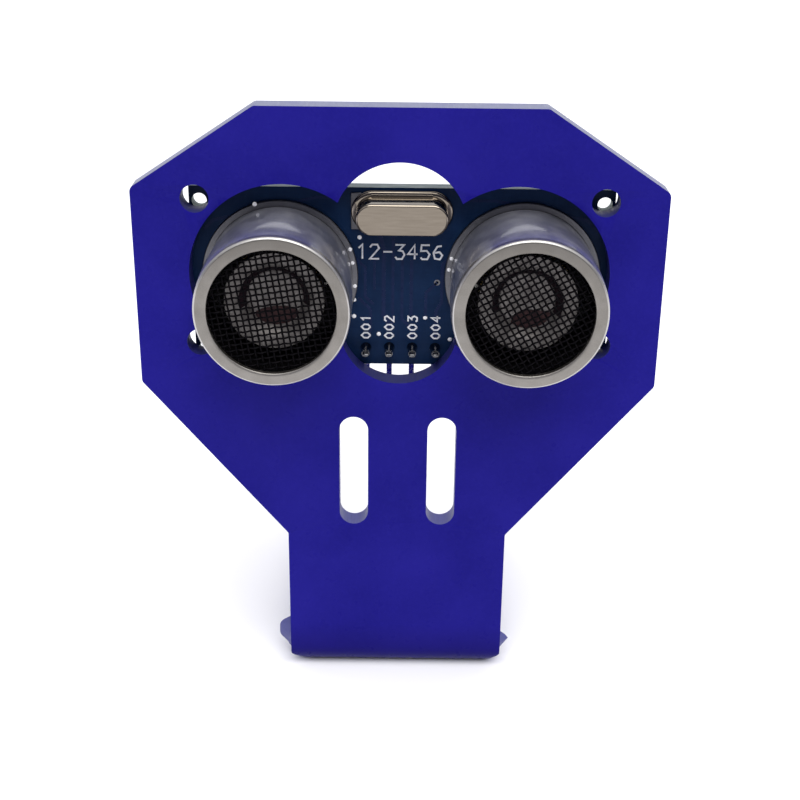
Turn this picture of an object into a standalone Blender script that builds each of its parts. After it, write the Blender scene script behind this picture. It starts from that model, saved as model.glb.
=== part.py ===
"""Ultrasonic distance sensor hung in a bent acrylic face bracket.

A two-eyed sensor board sits behind an upright acrylic plate, and its two cans look out through the
plate's cut-outs. The plate is bent backwards at its foot. Metres, +Z up, the sensor looks along -Y,
and the origin is on the foot's underside, midway between the two foot holes.
"""

import math

import bmesh
import bpy
from mathutils import Vector

MM = 0.001
FIT_GAP = 0.1  # clearance between neighbouring pieces, in millimetres like every size below

# Bracket plate: depths are measured from its front face, heights from the axis of the two cans
SHEET = 2.5
AXIS_HEIGHT = 48.5
TOP_HALF_WIDTH = 15.0
TOP_Z = 18.75
SHOULDER_HALF_WIDTH = 28.0
SHOULDER_TOP_Z = 10.1
SHOULDER_LOW_Z = -11.6
NECK_HALF_WIDTH = 12.4
NECK_TOP_Z = -30.3
PLATE_CORNER = 0.8

# Cut-outs in the plate
CUTOUT_Z = 0.78
EYE_X = 12.35
EYE_RADIUS = 9.9
CENTRE_TOP_RADIUS = 7.05
CENTRE_LOW_RADIUS = 6.3
CENTRE_HALF_HEIGHT = 12.3
CORNER_HOLE_X = 21.35
CORNER_HOLE_Z = 1.07
CORNER_HOLE_RISE = 7.96
CORNER_HOLE_RADIUS = 1.5
SLOT_X = 4.9
SLOT_WIDTH = 3.2
SLOT_TOP_Z = -15.6
SLOT_LOW_Z = -29.0

# Bend and foot
BEND_OUTER = 2.8
FOOT_LENGTH = 33.4
FOOT_HOLE_SETBACK = 16.0
FOOT_HOLE_RADIUS = 1.6
FOOT_CORNER = 2.0
SWELL_REACH = 2.2
SWELLS = {-1: (1.6, 1.7, -1.2, 2.6), 1: (1.0, 1.4, 1.1, 2.4)}
BEND_CUTS = 15

# Circuit board, which hangs a little to the right of the plate's middle
MODULE_X = 0.2
BOARD_SIZE = (45.0, 20.0, 1.6)
BOARD_Z = -0.27
BOARD_HOLE_X = 21.4
BOARD_HOLE_RISE = 8.4
BOARD_HOLE_RADIUS = 0.8

# Transducers
CAN_X = 13.0
CAN_RADIUS = 8.0
CAN_HEIGHT = 12.0
CAN_WALL = 0.3
CAN_MOUTH = 6.54
CAN_FLANGE = 8.35
SCREEN_RADIUS = 7.4
SCREEN_DEPTH = 0.75
CONE_RADIUS = 5.2
CONE_DEPTH = 3.6
LEAD_SPACING = 10.0
LEAD_RADIUS = 0.35

# Crystal
CRYSTAL_Z = 7.2
CRYSTAL_SIZE = (9.8, 3.5)
CRYSTAL_FLANGE = (10.8, 4.5)
CRYSTAL_HEIGHT = 3.6
CRYSTAL_LEAD_SPACING = 4.88
CRYSTAL_LEAD_RADIUS = 0.22

# Header
PITCH = 2.54
PIN = 0.64
PIN_COUNT = 4
HEADER_Z = -8.3
PIN_TAIL = 2.5
PIN_DROP = 8.4
PIN_BEND = 0.9

# Joints of solder
SOLDER_RADIUS = 0.6
SOLDER_HEIGHT = 1.0

BOARD_FRONT = SHEET + FIT_GAP
BOARD_BACK = BOARD_FRONT + BOARD_SIZE[2]


# ---------------------------------------------------------------- scene and materials


def clear_scene():
    for old in list(bpy.data.objects):
        bpy.data.objects.remove(old, do_unlink=True)


def principled(name, color, roughness, metallic=0.0):
    material = bpy.data.materials.new(name)
    material.use_nodes = True
    shader = material.node_tree.nodes["Principled BSDF"]
    shader.inputs["Base Color"].default_value = (*color, 1.0)
    shader.inputs["Roughness"].default_value = roughness
    shader.inputs["Metallic"].default_value = metallic
    material.diffuse_color = (*color, 1.0)
    return material


def add_frame(name, x):
    """An empty where the plate's front face meets the height of the can axes."""
    frame = bpy.data.objects.new(name, None)
    frame.location = (x * MM, -FOOT_HOLE_SETBACK * MM, AXIS_HEIGHT * MM)
    bpy.context.collection.objects.link(frame)
    return frame


def add_object(name, bm, material, frame):
    """Turn a bmesh in millimetres into a named object in metres, with round faces shaded smooth."""
    bmesh.ops.recalc_face_normals(bm, faces=bm.faces)
    bmesh.ops.scale(bm, vec=Vector((MM, MM, MM)), verts=bm.verts)
    mesh = bpy.data.meshes.new(name)
    bm.to_mesh(mesh)
    bm.free()
    mesh.materials.append(material)
    mesh.shade_smooth()
    mesh.set_sharp_from_angle(angle=math.radians(35))
    made = bpy.data.objects.new(name, mesh)
    made.parent = frame
    bpy.context.collection.objects.link(made)
    return made


# ---------------------------------------------------------------- outlines


def arc(centre, radius, start, end, count):
    """Points from angle start to angle end (degrees), both included."""
    points = []
    for step in range(count + 1):
        angle = math.radians(start + (end - start) * step / count)
        points.append((centre[0] + radius * math.cos(angle), centre[1] + radius * math.sin(angle)))
    return points


def angle_of(point, centre):
    return math.degrees(math.atan2(point[1] - centre[1], point[0] - centre[0]))


def circle(centre, radius, count):
    return arc(centre, radius, 0.0, 360.0, count)[:-1]


def rectangle(centre, width, height):
    x, z = centre
    half_width, half_height = width / 2, height / 2
    return [
        (x - half_width, z - half_height),
        (x + half_width, z - half_height),
        (x + half_width, z + half_height),
        (x - half_width, z + half_height),
    ]


def obround(centre, width, height, count):
    """A slot outline with round ends, lying along whichever side is longer."""
    radius = min(width, height) / 2
    if width > height:
        reach = width / 2 - radius
        right = arc((centre[0] + reach, centre[1]), radius, -90, 90, count)
        left = arc((centre[0] - reach, centre[1]), radius, 90, 270, count)
        return right + left
    reach = height / 2 - radius
    top = arc((centre[0], centre[1] + reach), radius, 0, 180, count)
    low = arc((centre[0], centre[1] - reach), radius, 180, 360, count)
    return top + low


def rounded(corners, count):
    """Outline from corners (x, z, radius), each turned into an arc."""
    points = []
    for i, (x, z, radius) in enumerate(corners):
        here = Vector((x, z))
        before = (Vector(corners[i - 1][:2]) - here).normalized()
        after = (Vector(corners[(i + 1) % len(corners)][:2]) - here).normalized()
        half = before.angle(after) / 2
        centre = here + (before + after).normalized() * radius / math.sin(half)
        start = angle_of(here + before * radius / math.tan(half), centre)
        end = angle_of(here + after * radius / math.tan(half), centre)
        points += arc(centre, radius, start, start + (end - start + 180) % 360 - 180, count)
    return points


def crossing(centre_a, radius_a, centre_b, radius_b, side):
    """One of the two points where two circles cross; side +1 or -1 picks which."""
    dx, dz = centre_b[0] - centre_a[0], centre_b[1] - centre_a[1]
    apart = math.hypot(dx, dz)
    along = (apart**2 + radius_a**2 - radius_b**2) / (2 * apart)
    off = side * math.sqrt(radius_a**2 - along**2)
    x = centre_a[0] + (along * dx - off * dz) / apart
    z = centre_a[1] + (along * dz + off * dx) / apart
    return x, z


def face_cutout():
    """Both eyes and the middle window as one outline, counter-clockwise from the bottom."""
    top_centre = (0.0, CUTOUT_Z + CENTRE_HALF_HEIGHT - CENTRE_TOP_RADIUS)
    low_centre = (0.0, CUTOUT_Z - CENTRE_HALF_HEIGHT + CENTRE_LOW_RADIUS)
    eye = (EYE_X, CUTOUT_Z)
    upper = crossing(top_centre, CENTRE_TOP_RADIUS, eye, EYE_RADIUS, 1)
    lower = crossing(low_centre, CENTRE_LOW_RADIUS, eye, EYE_RADIUS, -1)
    half = arc(low_centre, CENTRE_LOW_RADIUS, -90, angle_of(lower, low_centre), 8)
    half += arc(eye, EYE_RADIUS, angle_of(lower, eye), angle_of(upper, eye), 40)[1:]
    half += arc(top_centre, CENTRE_TOP_RADIUS, angle_of(upper, top_centre), 90, 9)[1:]
    mirrored = [(-x, z) for x, z in reversed(half[1:-1])]
    return half + mirrored


# ---------------------------------------------------------------- solids


def sheet_mesh(outline, holes, lift):
    """A flat sheet with holes in the plane lift(u, v, 0), thickened to lift(u, v, 1)."""
    bm = bmesh.new()
    edges = []
    for loop in [outline, *holes]:
        ring = [bm.verts.new(lift(u, v, 0)) for u, v in loop]
        for first, second in zip(ring, ring[1:] + ring[:1]):
            edges.append(bm.edges.new((first, second)))
    filled = bmesh.ops.triangle_fill(bm, use_beauty=True, edges=edges)
    faces = [item for item in filled["geom"] if isinstance(item, bmesh.types.BMFace)]
    raised = bmesh.ops.extrude_face_region(bm, geom=faces, use_keep_orig=True)
    step = Vector(lift(0, 0, 1)) - Vector(lift(0, 0, 0))
    moved = [item for item in raised["geom"] if isinstance(item, bmesh.types.BMVert)]
    bmesh.ops.translate(bm, vec=step, verts=moved)
    return bm


def plate_mesh(outline, holes, front, back):
    """A plate between two depths, with its outline in X and height."""
    return sheet_mesh(outline, holes, lambda u, v, t: (u, front + (back - front) * t, v))


def loft_mesh(loops):
    """Join rings of equal length into a closed solid, capped at both ends."""
    bm = bmesh.new()
    rings = [[bm.verts.new(point) for point in loop] for loop in loops]
    for near, far in zip(rings, rings[1:]):
        for i in range(len(near)):
            j = (i + 1) % len(near)
            bm.faces.new((near[i], near[j], far[j], far[i]))
    bm.faces.new(rings[0])
    bm.faces.new(rings[-1])
    return bm


def turned_mesh(profile, x, z, front, count):
    """Turn a closed (radius, depth) profile about an axis along Y; radius 0 closes onto the axis."""
    bm = bmesh.new()
    rings = []
    for radius, depth in profile:
        y = front + depth
        if radius == 0:
            rings.append([bm.verts.new((x, y, z))])
            continue
        rings.append([bm.verts.new((u, y, v)) for u, v in circle((x, z), radius, count)])
    for near, far in zip(rings, rings[1:] + rings[:1]):
        if len(near) == 1 and len(far) == 1:
            continue
        for i in range(count):
            j = (i + 1) % count
            corners = [near[i % len(near)], near[j % len(near)], far[j % len(far)], far[i % len(far)]]
            bm.faces.new(list(dict.fromkeys(corners)))
    return bm


# ---------------------------------------------------------------- bracket


BEND_MIDDLE = BEND_OUTER - SHEET / 2  # radius of the sheet's middle layer, which keeps its length
BEND_LENGTH = BEND_MIDDLE * math.pi / 2
BEND_TOP = BEND_OUTER - AXIS_HEIGHT  # height at which the upright plate begins to curve


def developed(setback):
    """Height on the flat, unbent sheet of a point of the foot that far behind the plate's face."""
    return BEND_TOP - BEND_LENGTH - (setback - BEND_OUTER)


def swell_at(x, along, depth):
    """Sideways swell of a heat bend: wide on its inner side, drawn in on its outer side.

    SWELLS holds, for the left and right side, the most that the inner side swells and the outer side
    draws in, and how far past the bend's start the inner and the outer swell have their middles.
    """
    share = depth / SHEET
    widest, drawn_in, inner_middle, outer_middle = SWELLS[1 if x > 0 else -1]
    middle = inner_middle * share + outer_middle * (1 - share)
    offset = (along - middle) / SWELL_REACH
    if abs(offset) >= 1:
        return 0.0
    size = widest * share**0.7 - drawn_in * (1 - share)
    edge = math.copysign((abs(x) / NECK_HALF_WIDTH) ** 6, x)
    return size * edge * (1 - offset**4) ** 2


def bent(point):
    """Where a point of the flat sheet goes when the foot is bent back."""
    x, depth, z = point
    along = BEND_TOP - z
    x += swell_at(x, along, depth)
    if along <= 0:
        return Vector((x, depth, z))
    if along >= BEND_LENGTH:
        return Vector((x, BEND_OUTER + along - BEND_LENGTH, depth - AXIS_HEIGHT))
    radius = BEND_OUTER - depth
    angle = along / BEND_MIDDLE
    return Vector((x, BEND_OUTER - radius * math.cos(angle), BEND_TOP - radius * math.sin(angle)))


def bracket_outline():
    right = [
        (TOP_HALF_WIDTH, TOP_Z, PLATE_CORNER),
        (SHOULDER_HALF_WIDTH, SHOULDER_TOP_Z, PLATE_CORNER),
        (SHOULDER_HALF_WIDTH, SHOULDER_LOW_Z, PLATE_CORNER),
        (NECK_HALF_WIDTH, NECK_TOP_Z, PLATE_CORNER / 2),
        (NECK_HALF_WIDTH, developed(FOOT_LENGTH), FOOT_CORNER),
    ]
    left = [(-x, z, radius) for x, z, radius in reversed(right)]
    return rounded(right + left, 4)


def make_bracket(material, frame):
    holes = [face_cutout()]
    for side in (-1, 1):
        for rise in (-CORNER_HOLE_RISE, CORNER_HOLE_RISE):
            holes.append(circle((side * CORNER_HOLE_X, CORNER_HOLE_Z + rise), CORNER_HOLE_RADIUS, 24))
        slot_centre = (side * SLOT_X, (SLOT_TOP_Z + SLOT_LOW_Z) / 2)
        holes.append(obround(slot_centre, SLOT_WIDTH, SLOT_TOP_Z - SLOT_LOW_Z, 12))
        foot_hole = (side * SLOT_X, developed(FOOT_HOLE_SETBACK))
        holes.append(circle(foot_hole, FOOT_HOLE_RADIUS, 24))
    bm = plate_mesh(bracket_outline(), holes, 0, SHEET)
    middles = [middle for *_, inner, outer in SWELLS.values() for middle in (inner, outer)]
    first, last = min(middles) - SWELL_REACH, max(middles) + SWELL_REACH
    cuts = {BEND_TOP, BEND_TOP - BEND_LENGTH}
    cuts |= {BEND_TOP - first - (last - first) * step / BEND_CUTS for step in range(BEND_CUTS + 1)}
    for height in sorted(cuts):
        bmesh.ops.bisect_plane(
            bm,
            geom=[*bm.verts, *bm.edges, *bm.faces],
            dist=1e-5,
            plane_co=(0, 0, height),
            plane_no=(0, 0, 1),
        )
    for vert in bm.verts:
        vert.co = bent(vert.co)
    add_object("bracket", bm, material, frame)


# ---------------------------------------------------------------- circuit board


def lead_places():
    """Where the round leads pass through the board: x, height, radius."""
    places = []
    for can_x in (-CAN_X, CAN_X):
        for side in (-1, 1):
            places.append((can_x + side * LEAD_SPACING / 2, 0.0, LEAD_RADIUS))
    for side in (-1, 1):
        places.append((side * CRYSTAL_LEAD_SPACING / 2, CRYSTAL_Z, CRYSTAL_LEAD_RADIUS))
    return places


def pin_places():
    return [(i - (PIN_COUNT - 1) / 2) * PITCH for i in range(PIN_COUNT)]


def make_board(material, frame):
    holes = []
    for side in (-1, 1):
        for rise in (-BOARD_HOLE_RISE, BOARD_HOLE_RISE):
            holes.append(circle((side * BOARD_HOLE_X, BOARD_Z + rise), BOARD_HOLE_RADIUS, 20))
    for x, z, radius in lead_places():
        holes.append(circle((x, z), radius + FIT_GAP, 12))
    for x in pin_places():
        holes.append(circle((x, HEADER_Z), PIN / math.sqrt(2) + FIT_GAP / 2, 12))
    outline = rectangle((0, BOARD_Z), BOARD_SIZE[0], BOARD_SIZE[1])
    board = plate_mesh(outline, holes, BOARD_FRONT, BOARD_BACK)
    add_object("circuit_board", board, material, frame)


# ---------------------------------------------------------------- transducers


def can_profile():
    """Drawn shell: base flange, side, rolled front edge, flat rim and mouth; depth from its front."""
    inner = CAN_RADIUS - CAN_WALL
    back = CAN_HEIGHT
    roll = 0.55
    front_edge = arc((CAN_RADIUS - roll, roll), roll, 0, -90, 4)
    return [
        (inner, back),
        (CAN_FLANGE, back),
        (CAN_FLANGE, back - 0.5),
        (CAN_RADIUS, back - 0.6),
        *front_edge,
        (CAN_MOUTH + 0.15, 0.0),
        (CAN_MOUTH, 0.15),
        (CAN_MOUTH, CAN_WALL),
        (inner, CAN_WALL + 0.1),
    ]


def make_transducer(name, x, looks, frame):
    """One open-faced transducer and everything that its can holds, from front to back."""
    front = BOARD_FRONT - FIT_GAP / 2 - CAN_HEIGHT
    seat = CONE_DEPTH + 2.4
    turned = [
        ("can", can_profile(), 0.0, 56),
        ("screen", disc(SCREEN_RADIUS, 0.2), SCREEN_DEPTH, 40),
        ("cone", cone_profile(), CONE_DEPTH, 36),
        ("diaphragm", disc(5.0, 0.25), seat, 32),
        ("piezo_disc", disc(3.2, 0.5), seat + 0.35, 28),
        ("cushion_ring", [(3.4, 0), (4.4, 0), (4.4, 1.3), (3.4, 1.3)], seat + 0.35, 28),
    ]
    for part, profile, depth, count in turned:
        bm = turned_mesh(profile, x, 0, front + depth, count)
        add_object(f"{name}_{part}", bm, looks[part], frame)

    base_front = BOARD_FRONT - 2.3
    sides = (-1, 1)
    holes = [circle((x + side * LEAD_SPACING / 2, 0), LEAD_RADIUS + FIT_GAP, 12) for side in sides]
    rim = circle((x, 0), CAN_RADIUS - CAN_WALL - FIT_GAP, 40)
    base = plate_mesh(rim, holes, base_front, BOARD_FRONT - FIT_GAP)
    add_object(f"{name}_terminal_base", base, looks["terminal_base"], frame)

    lead = lead_profile(LEAD_RADIUS, BOARD_BACK - base_front + 2.0)
    for number, side in enumerate(sides, start=1):
        lead_x = x + side * LEAD_SPACING / 2
        bm = turned_mesh(lead, lead_x, 0, base_front - 0.7, 12)
        add_object(f"{name}_lead_{number}", bm, looks["tin"], frame)
        solder = solder_mesh(lead_x, 0, LEAD_RADIUS, 1)
        add_object(f"{name}_solder_{number}", solder, looks["solder"], frame)


def disc(radius, thickness):
    return [(0, 0), (radius, 0), (radius, thickness), (0, thickness)]


def cone_profile():
    """A shallow aluminium funnel, wide at the front, with a closed hub at its back."""
    return [
        (CONE_RADIUS, 0.0),
        (CONE_RADIUS, 0.2),
        (1.5, 2.0),
        (1.5, 2.3),
        (0, 2.3),
        (0, 2.1),
        (1.3, 1.9),
        (CONE_RADIUS - 0.25, 0.0),
    ]


def lead_profile(radius, length):
    """A round lead with a small chamfer at both ends."""
    chamfer = radius * 0.35
    return [
        (0, 0),
        (radius - chamfer, 0),
        (radius, chamfer),
        (radius, length - chamfer),
        (radius - chamfer, length),
        (0, length),
    ]


def solder_mesh(x, z, hole, side):
    """A concave cone of solder round a lead, on the board's back (side 1) or front (side -1)."""
    inner = hole + 0.05
    profile = [(inner, 0.04), (SOLDER_RADIUS, 0.04)]
    for share in (0.3, 0.65, 1.0):
        radius = inner + 0.08 + (SOLDER_RADIUS - inner - 0.08) * (1 - share) ** 2
        profile.append((radius, SOLDER_HEIGHT * share))
    profile.append((inner, SOLDER_HEIGHT))
    surface = BOARD_BACK if side > 0 else BOARD_FRONT
    return turned_mesh([(radius, side * depth) for radius, depth in profile], x, z, surface, 12)


# ---------------------------------------------------------------- crystal


def crystal_loops(size, steps):
    """Obround rings, one for each (inset, depth in front of the board)."""
    loops = []
    for inset, depth in steps:
        ring = obround((0, CRYSTAL_Z), size[0] - 2 * inset, size[1] - 2 * inset, 12)
        loops.append([(x, BOARD_FRONT - depth, z) for x, z in ring])
    return loops


def make_crystal(looks, frame):
    base = crystal_loops(CRYSTAL_FLANGE, [(0.15, 0.1), (0, 0.2), (0, 0.5), (0.15, 0.6)])
    add_object("crystal_base", loft_mesh(base), looks["crystal"], frame)
    roll = 0.45
    steps = [(0, 0.65), *arc((roll, CRYSTAL_HEIGHT - roll), roll, 180, 90, 4)]
    can = crystal_loops(CRYSTAL_SIZE, steps)
    add_object("crystal_can", loft_mesh(can), looks["crystal"], frame)
    lead = lead_profile(CRYSTAL_LEAD_RADIUS, BOARD_SIZE[2] + 1.3)
    for number, side in enumerate((-1, 1), start=1):
        x = side * CRYSTAL_LEAD_SPACING / 2
        bm = turned_mesh(lead, x, CRYSTAL_Z, BOARD_FRONT, 10)
        add_object(f"crystal_lead_{number}", bm, looks["tin"], frame)
        solder = solder_mesh(x, CRYSTAL_Z, CRYSTAL_LEAD_RADIUS, 1)
        add_object(f"crystal_solder_{number}", solder, looks["solder"], frame)


# ---------------------------------------------------------------- header


def housing_outline():
    """Four square cells in a row, with a notch between neighbours."""
    half, notch = PITCH / 2, 0.35
    low, high = [], []
    for x in pin_places():
        low += [(x - half, HEADER_Z - half + notch), (x - half + notch, HEADER_Z - half)]
        low += [(x + half - notch, HEADER_Z - half)]
        high += [(x - half + notch, HEADER_Z + half), (x + half - notch, HEADER_Z + half)]
        high += [(x + half, HEADER_Z + half - notch)]
    right = (pin_places()[-1] + half, HEADER_Z - half + notch)
    left = (pin_places()[0] - half, HEADER_Z + half - notch)
    return [*low, right, *reversed(high), left]


def make_header(looks, frame):
    front = BOARD_BACK + FIT_GAP
    holes = [rectangle((x, HEADER_Z), PIN + 0.12, PIN + 0.12) for x in pin_places()]
    housing = plate_mesh(housing_outline(), holes, front, front + PITCH)
    add_object("header_housing", housing, looks["black"], frame)
    outline = pin_outline(BOARD_FRONT - PIN_TAIL, front + PITCH + PIN_BEND + 0.2)
    for number, x in enumerate(pin_places(), start=1):
        pin = sheet_mesh(outline, [], lambda u, v, t, x=x: (x - PIN / 2 + PIN * t, u, v))
        add_object(f"header_pin_{number}", pin, looks["tin"], frame)
        solder = solder_mesh(x, HEADER_Z, PIN / math.sqrt(2), -1)
        add_object(f"header_solder_{number}", solder, looks["solder"], frame)


def pin_outline(tip, middle):
    """Side view of one right-angle pin: a tail through the board, a bend and a leg going down."""
    half, taper = PIN / 2, 0.18
    outer = arc((middle - PIN_BEND, HEADER_Z - PIN_BEND), PIN_BEND + half, 90, 0, 5)
    inner = arc((middle - PIN_BEND, HEADER_Z - PIN_BEND), PIN_BEND - half, 0, 90, 5)
    end = HEADER_Z - PIN_DROP
    return [
        (tip, HEADER_Z - half + taper),
        (tip, HEADER_Z + half - taper),
        (tip + 0.5, HEADER_Z + half),
        *outer,
        (middle + half, end + 0.6),
        (middle + half - taper, end),
        (middle - half + taper, end),
        (middle - half, end + 0.6),
        *inner,
        (tip + 0.5, HEADER_Z - half),
    ]


# ---------------------------------------------------------------- parts on the back of the board


def box_mesh(centre, size, front, depth, chamfer):
    """A block on the board's back whose far edges are chamfered."""
    steps = [(0, 0), (0, depth - chamfer), (chamfer, depth)]
    loops = []
    for inset, y in steps:
        ring = rectangle(centre, size[0] - 2 * inset, size[1] - 2 * inset)
        loops.append([(x, front + y, z) for x, z in ring])
    return loft_mesh(loops)


def leg_mesh(edge_x, z, side, width):
    """One gull-wing leg: out of the package, down to the board, and out along it."""
    seat = BOARD_BACK + 0.05
    profile = [
        (-0.25, 0.95),
        (0.2, 0.95),
        (0.45, 0.2),
        (1.0, 0.2),
        (1.0, 0.0),
        (0.3, 0.0),
        (0.05, 0.75),
        (-0.25, 0.75),
    ]
    return sheet_mesh(
        profile,
        [],
        lambda u, v, t: (edge_x + side * u, seat + v, z + width * (t - 0.5)),
    )


def make_chip(name, centre, size, legs, pitch, material, frame):
    """A moulded package with gull-wing legs on its two long sides, joined into one body.

    legs holds how many legs the left and the right side have.
    """
    chip = add_object(name, box_mesh(centre, size, BOARD_BACK + 0.2, 1.4, 0.18), material, frame)
    comb = bmesh.new()
    for side, count in zip((-1, 1), legs):
        for i in range(count):
            z = centre[1] + (i - (count - 1) / 2) * pitch
            leg = leg_mesh(centre[0] + side * size[0] / 2, z, side, 0.42)
            carrier = bpy.data.meshes.new("leg")
            leg.to_mesh(carrier)
            leg.free()
            comb.from_mesh(carrier)
            bpy.data.meshes.remove(carrier)
    cutter = add_object(f"{name}_legs", comb, material, frame)
    cutter.hide_render = True
    cutter.display_type = "WIRE"
    union = chip.modifiers.new("legs", "BOOLEAN")
    union.operation = "UNION"
    union.solver = "EXACT"
    union.object = cutter


def make_chips(look, frame):
    small_outline = [
        ("driver_chip", (-CAN_X, -0.3), (3.9, 9.9), (8, 8), 1.27),
        ("controller_chip", (0.0, -0.9), (3.9, 8.65), (7, 7), 1.27),
        ("amplifier_chip", (CAN_X, -0.3), (3.9, 8.65), (7, 7), 1.27),
        ("switch_transistor", (6.3, -5.6), (1.3, 2.9), (2, 1), 1.9),
    ]
    for name, centre, size, legs, pitch in small_outline:
        make_chip(name, centre, size, legs, pitch, look, frame)


def make_passives(looks, frame):
    """Two-ended resistors along the board's top and capacitors along its bottom."""
    rows = [
        ("resistor", 4, 7.4, 2.9, 7.3, (1.25, 2.0), 0.5, 0.06),
        ("capacitor", 3, 9.6, 3.6, -7.9, (2.0, 1.25), 1.0, 0.1),
    ]
    for kind, count, first, step, z, size, depth, chamfer in rows:
        places = [side * (first + step * i) for side in (-1, 1) for i in range(count)]
        for number, x in enumerate(places, start=1):
            block = box_mesh((x, z), size, BOARD_BACK + FIT_GAP, depth, chamfer)
            add_object(f"{kind}_{number}", block, looks[kind], frame)


# ---------------------------------------------------------------- assembly


def main():
    clear_scene()
    looks = {
        "can": principled("can_metal", (0.62, 0.59, 0.56), 0.32, 1.0),
        "screen": principled("screen_black", (0.02, 0.02, 0.02), 0.5, 0.3),
        "cone": principled("cone_metal", (0.72, 0.72, 0.73), 0.35, 1.0),
        "diaphragm": principled("diaphragm_brass", (0.72, 0.55, 0.28), 0.35, 1.0),
        "piezo_disc": principled("piezo_ceramic", (0.75, 0.72, 0.64), 0.6),
        "cushion_ring": principled("cushion_silicone", (0.85, 0.85, 0.82), 0.7),
        "terminal_base": principled("base_resin", (0.05, 0.05, 0.055), 0.5),
        "tin": principled("tinned_lead", (0.75, 0.74, 0.7), 0.3, 1.0),
        "solder": principled("solder", (0.7, 0.7, 0.7), 0.25, 1.0),
        "crystal": principled("crystal_steel", (0.6, 0.57, 0.53), 0.2, 1.0),
        "black": principled("header_nylon", (0.02, 0.02, 0.022), 0.5),
        "resistor": principled("resistor_film", (0.04, 0.04, 0.045), 0.4),
        "capacitor": principled("capacitor_ceramic", (0.45, 0.33, 0.2), 0.45),
    }
    bracket_frame = add_frame("bracket_frame", 0.0)
    make_bracket(principled("acrylic_blue", (0.02, 0.014, 0.24), 0.3), bracket_frame)
    module_frame = add_frame("module_frame", MODULE_X)
    make_board(principled("solder_mask", (0.01, 0.03, 0.08), 0.35), module_frame)
    make_transducer("transmitter", -CAN_X, looks, module_frame)
    make_transducer("receiver", CAN_X, looks, module_frame)
    make_crystal(looks, module_frame)
    make_header(looks, module_frame)
    make_chips(principled("chip_package", (0.03, 0.03, 0.032), 0.55), module_frame)
    make_passives(looks, module_frame)


main()
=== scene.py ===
"""Looks for the ultrasonic distance sensor in its bent acrylic face bracket.

Every piece is built in millimetres in the face frame: X to the right from the middle of the board
or of the bracket, depth backwards from the plate's front face, height up from the axes of the cans.
"""

import math
import random

import bmesh
import bpy
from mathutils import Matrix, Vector


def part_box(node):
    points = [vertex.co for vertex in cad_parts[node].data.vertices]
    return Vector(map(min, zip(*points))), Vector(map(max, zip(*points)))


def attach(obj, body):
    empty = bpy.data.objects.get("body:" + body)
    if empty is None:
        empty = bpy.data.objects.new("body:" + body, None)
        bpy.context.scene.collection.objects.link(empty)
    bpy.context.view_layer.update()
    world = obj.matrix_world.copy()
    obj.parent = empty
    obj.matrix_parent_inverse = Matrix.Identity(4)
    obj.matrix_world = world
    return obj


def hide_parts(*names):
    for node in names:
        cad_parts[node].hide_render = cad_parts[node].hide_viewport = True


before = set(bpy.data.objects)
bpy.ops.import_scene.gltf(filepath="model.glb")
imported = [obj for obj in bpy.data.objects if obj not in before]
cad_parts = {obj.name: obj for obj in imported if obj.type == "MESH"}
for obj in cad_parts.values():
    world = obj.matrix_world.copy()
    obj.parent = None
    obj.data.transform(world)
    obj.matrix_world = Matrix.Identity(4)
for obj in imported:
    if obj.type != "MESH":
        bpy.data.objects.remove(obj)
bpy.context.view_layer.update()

MM = 0.001
LEFT, RIGHT = -1, 1

# ---------------------------------------------------------------- places, all read from the frame


def middle(node):
    low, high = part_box(node)
    return (low + high) / 2


FACE_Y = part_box("bracket")[0].y
AXIS_Z = middle("transmitter_can").z
MODULE_X = (middle("transmitter_can").x + middle("receiver_can").x) / 2


def in_face_frame(point, x0):
    """A world point as millimetres in the face frame whose middle is at x0."""
    return Vector((point.x - x0, point.y - FACE_Y, point.z - AXIS_Z)) / MM


def node_box(node, x0=MODULE_X):
    low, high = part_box(node)
    return in_face_frame(low, x0), in_face_frame(high, x0)


def node_centre(node):
    """The middle of a node as x, z in the module's face frame."""
    low, high = node_box(node)
    return (low.x + high.x) / 2, (low.z + high.z) / 2


BRACKET_LOW, BRACKET_HIGH = node_box("bracket", 0.0)
BOARD_LOW, BOARD_HIGH = node_box("circuit_board")
CAN_LOW, CAN_HIGH = node_box("receiver_can")
CAN_X = (CAN_LOW.x + CAN_HIGH.x) / 2
CAN_FRONT, CAN_BACK = CAN_LOW.y, CAN_HIGH.y
BOARD_FRONT, BOARD_BACK = BOARD_LOW.y, BOARD_HIGH.y
TRANSDUCERS = {"transmitter": -CAN_X, "receiver": CAN_X}

# ---------------------------------------------------------------- materials


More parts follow.
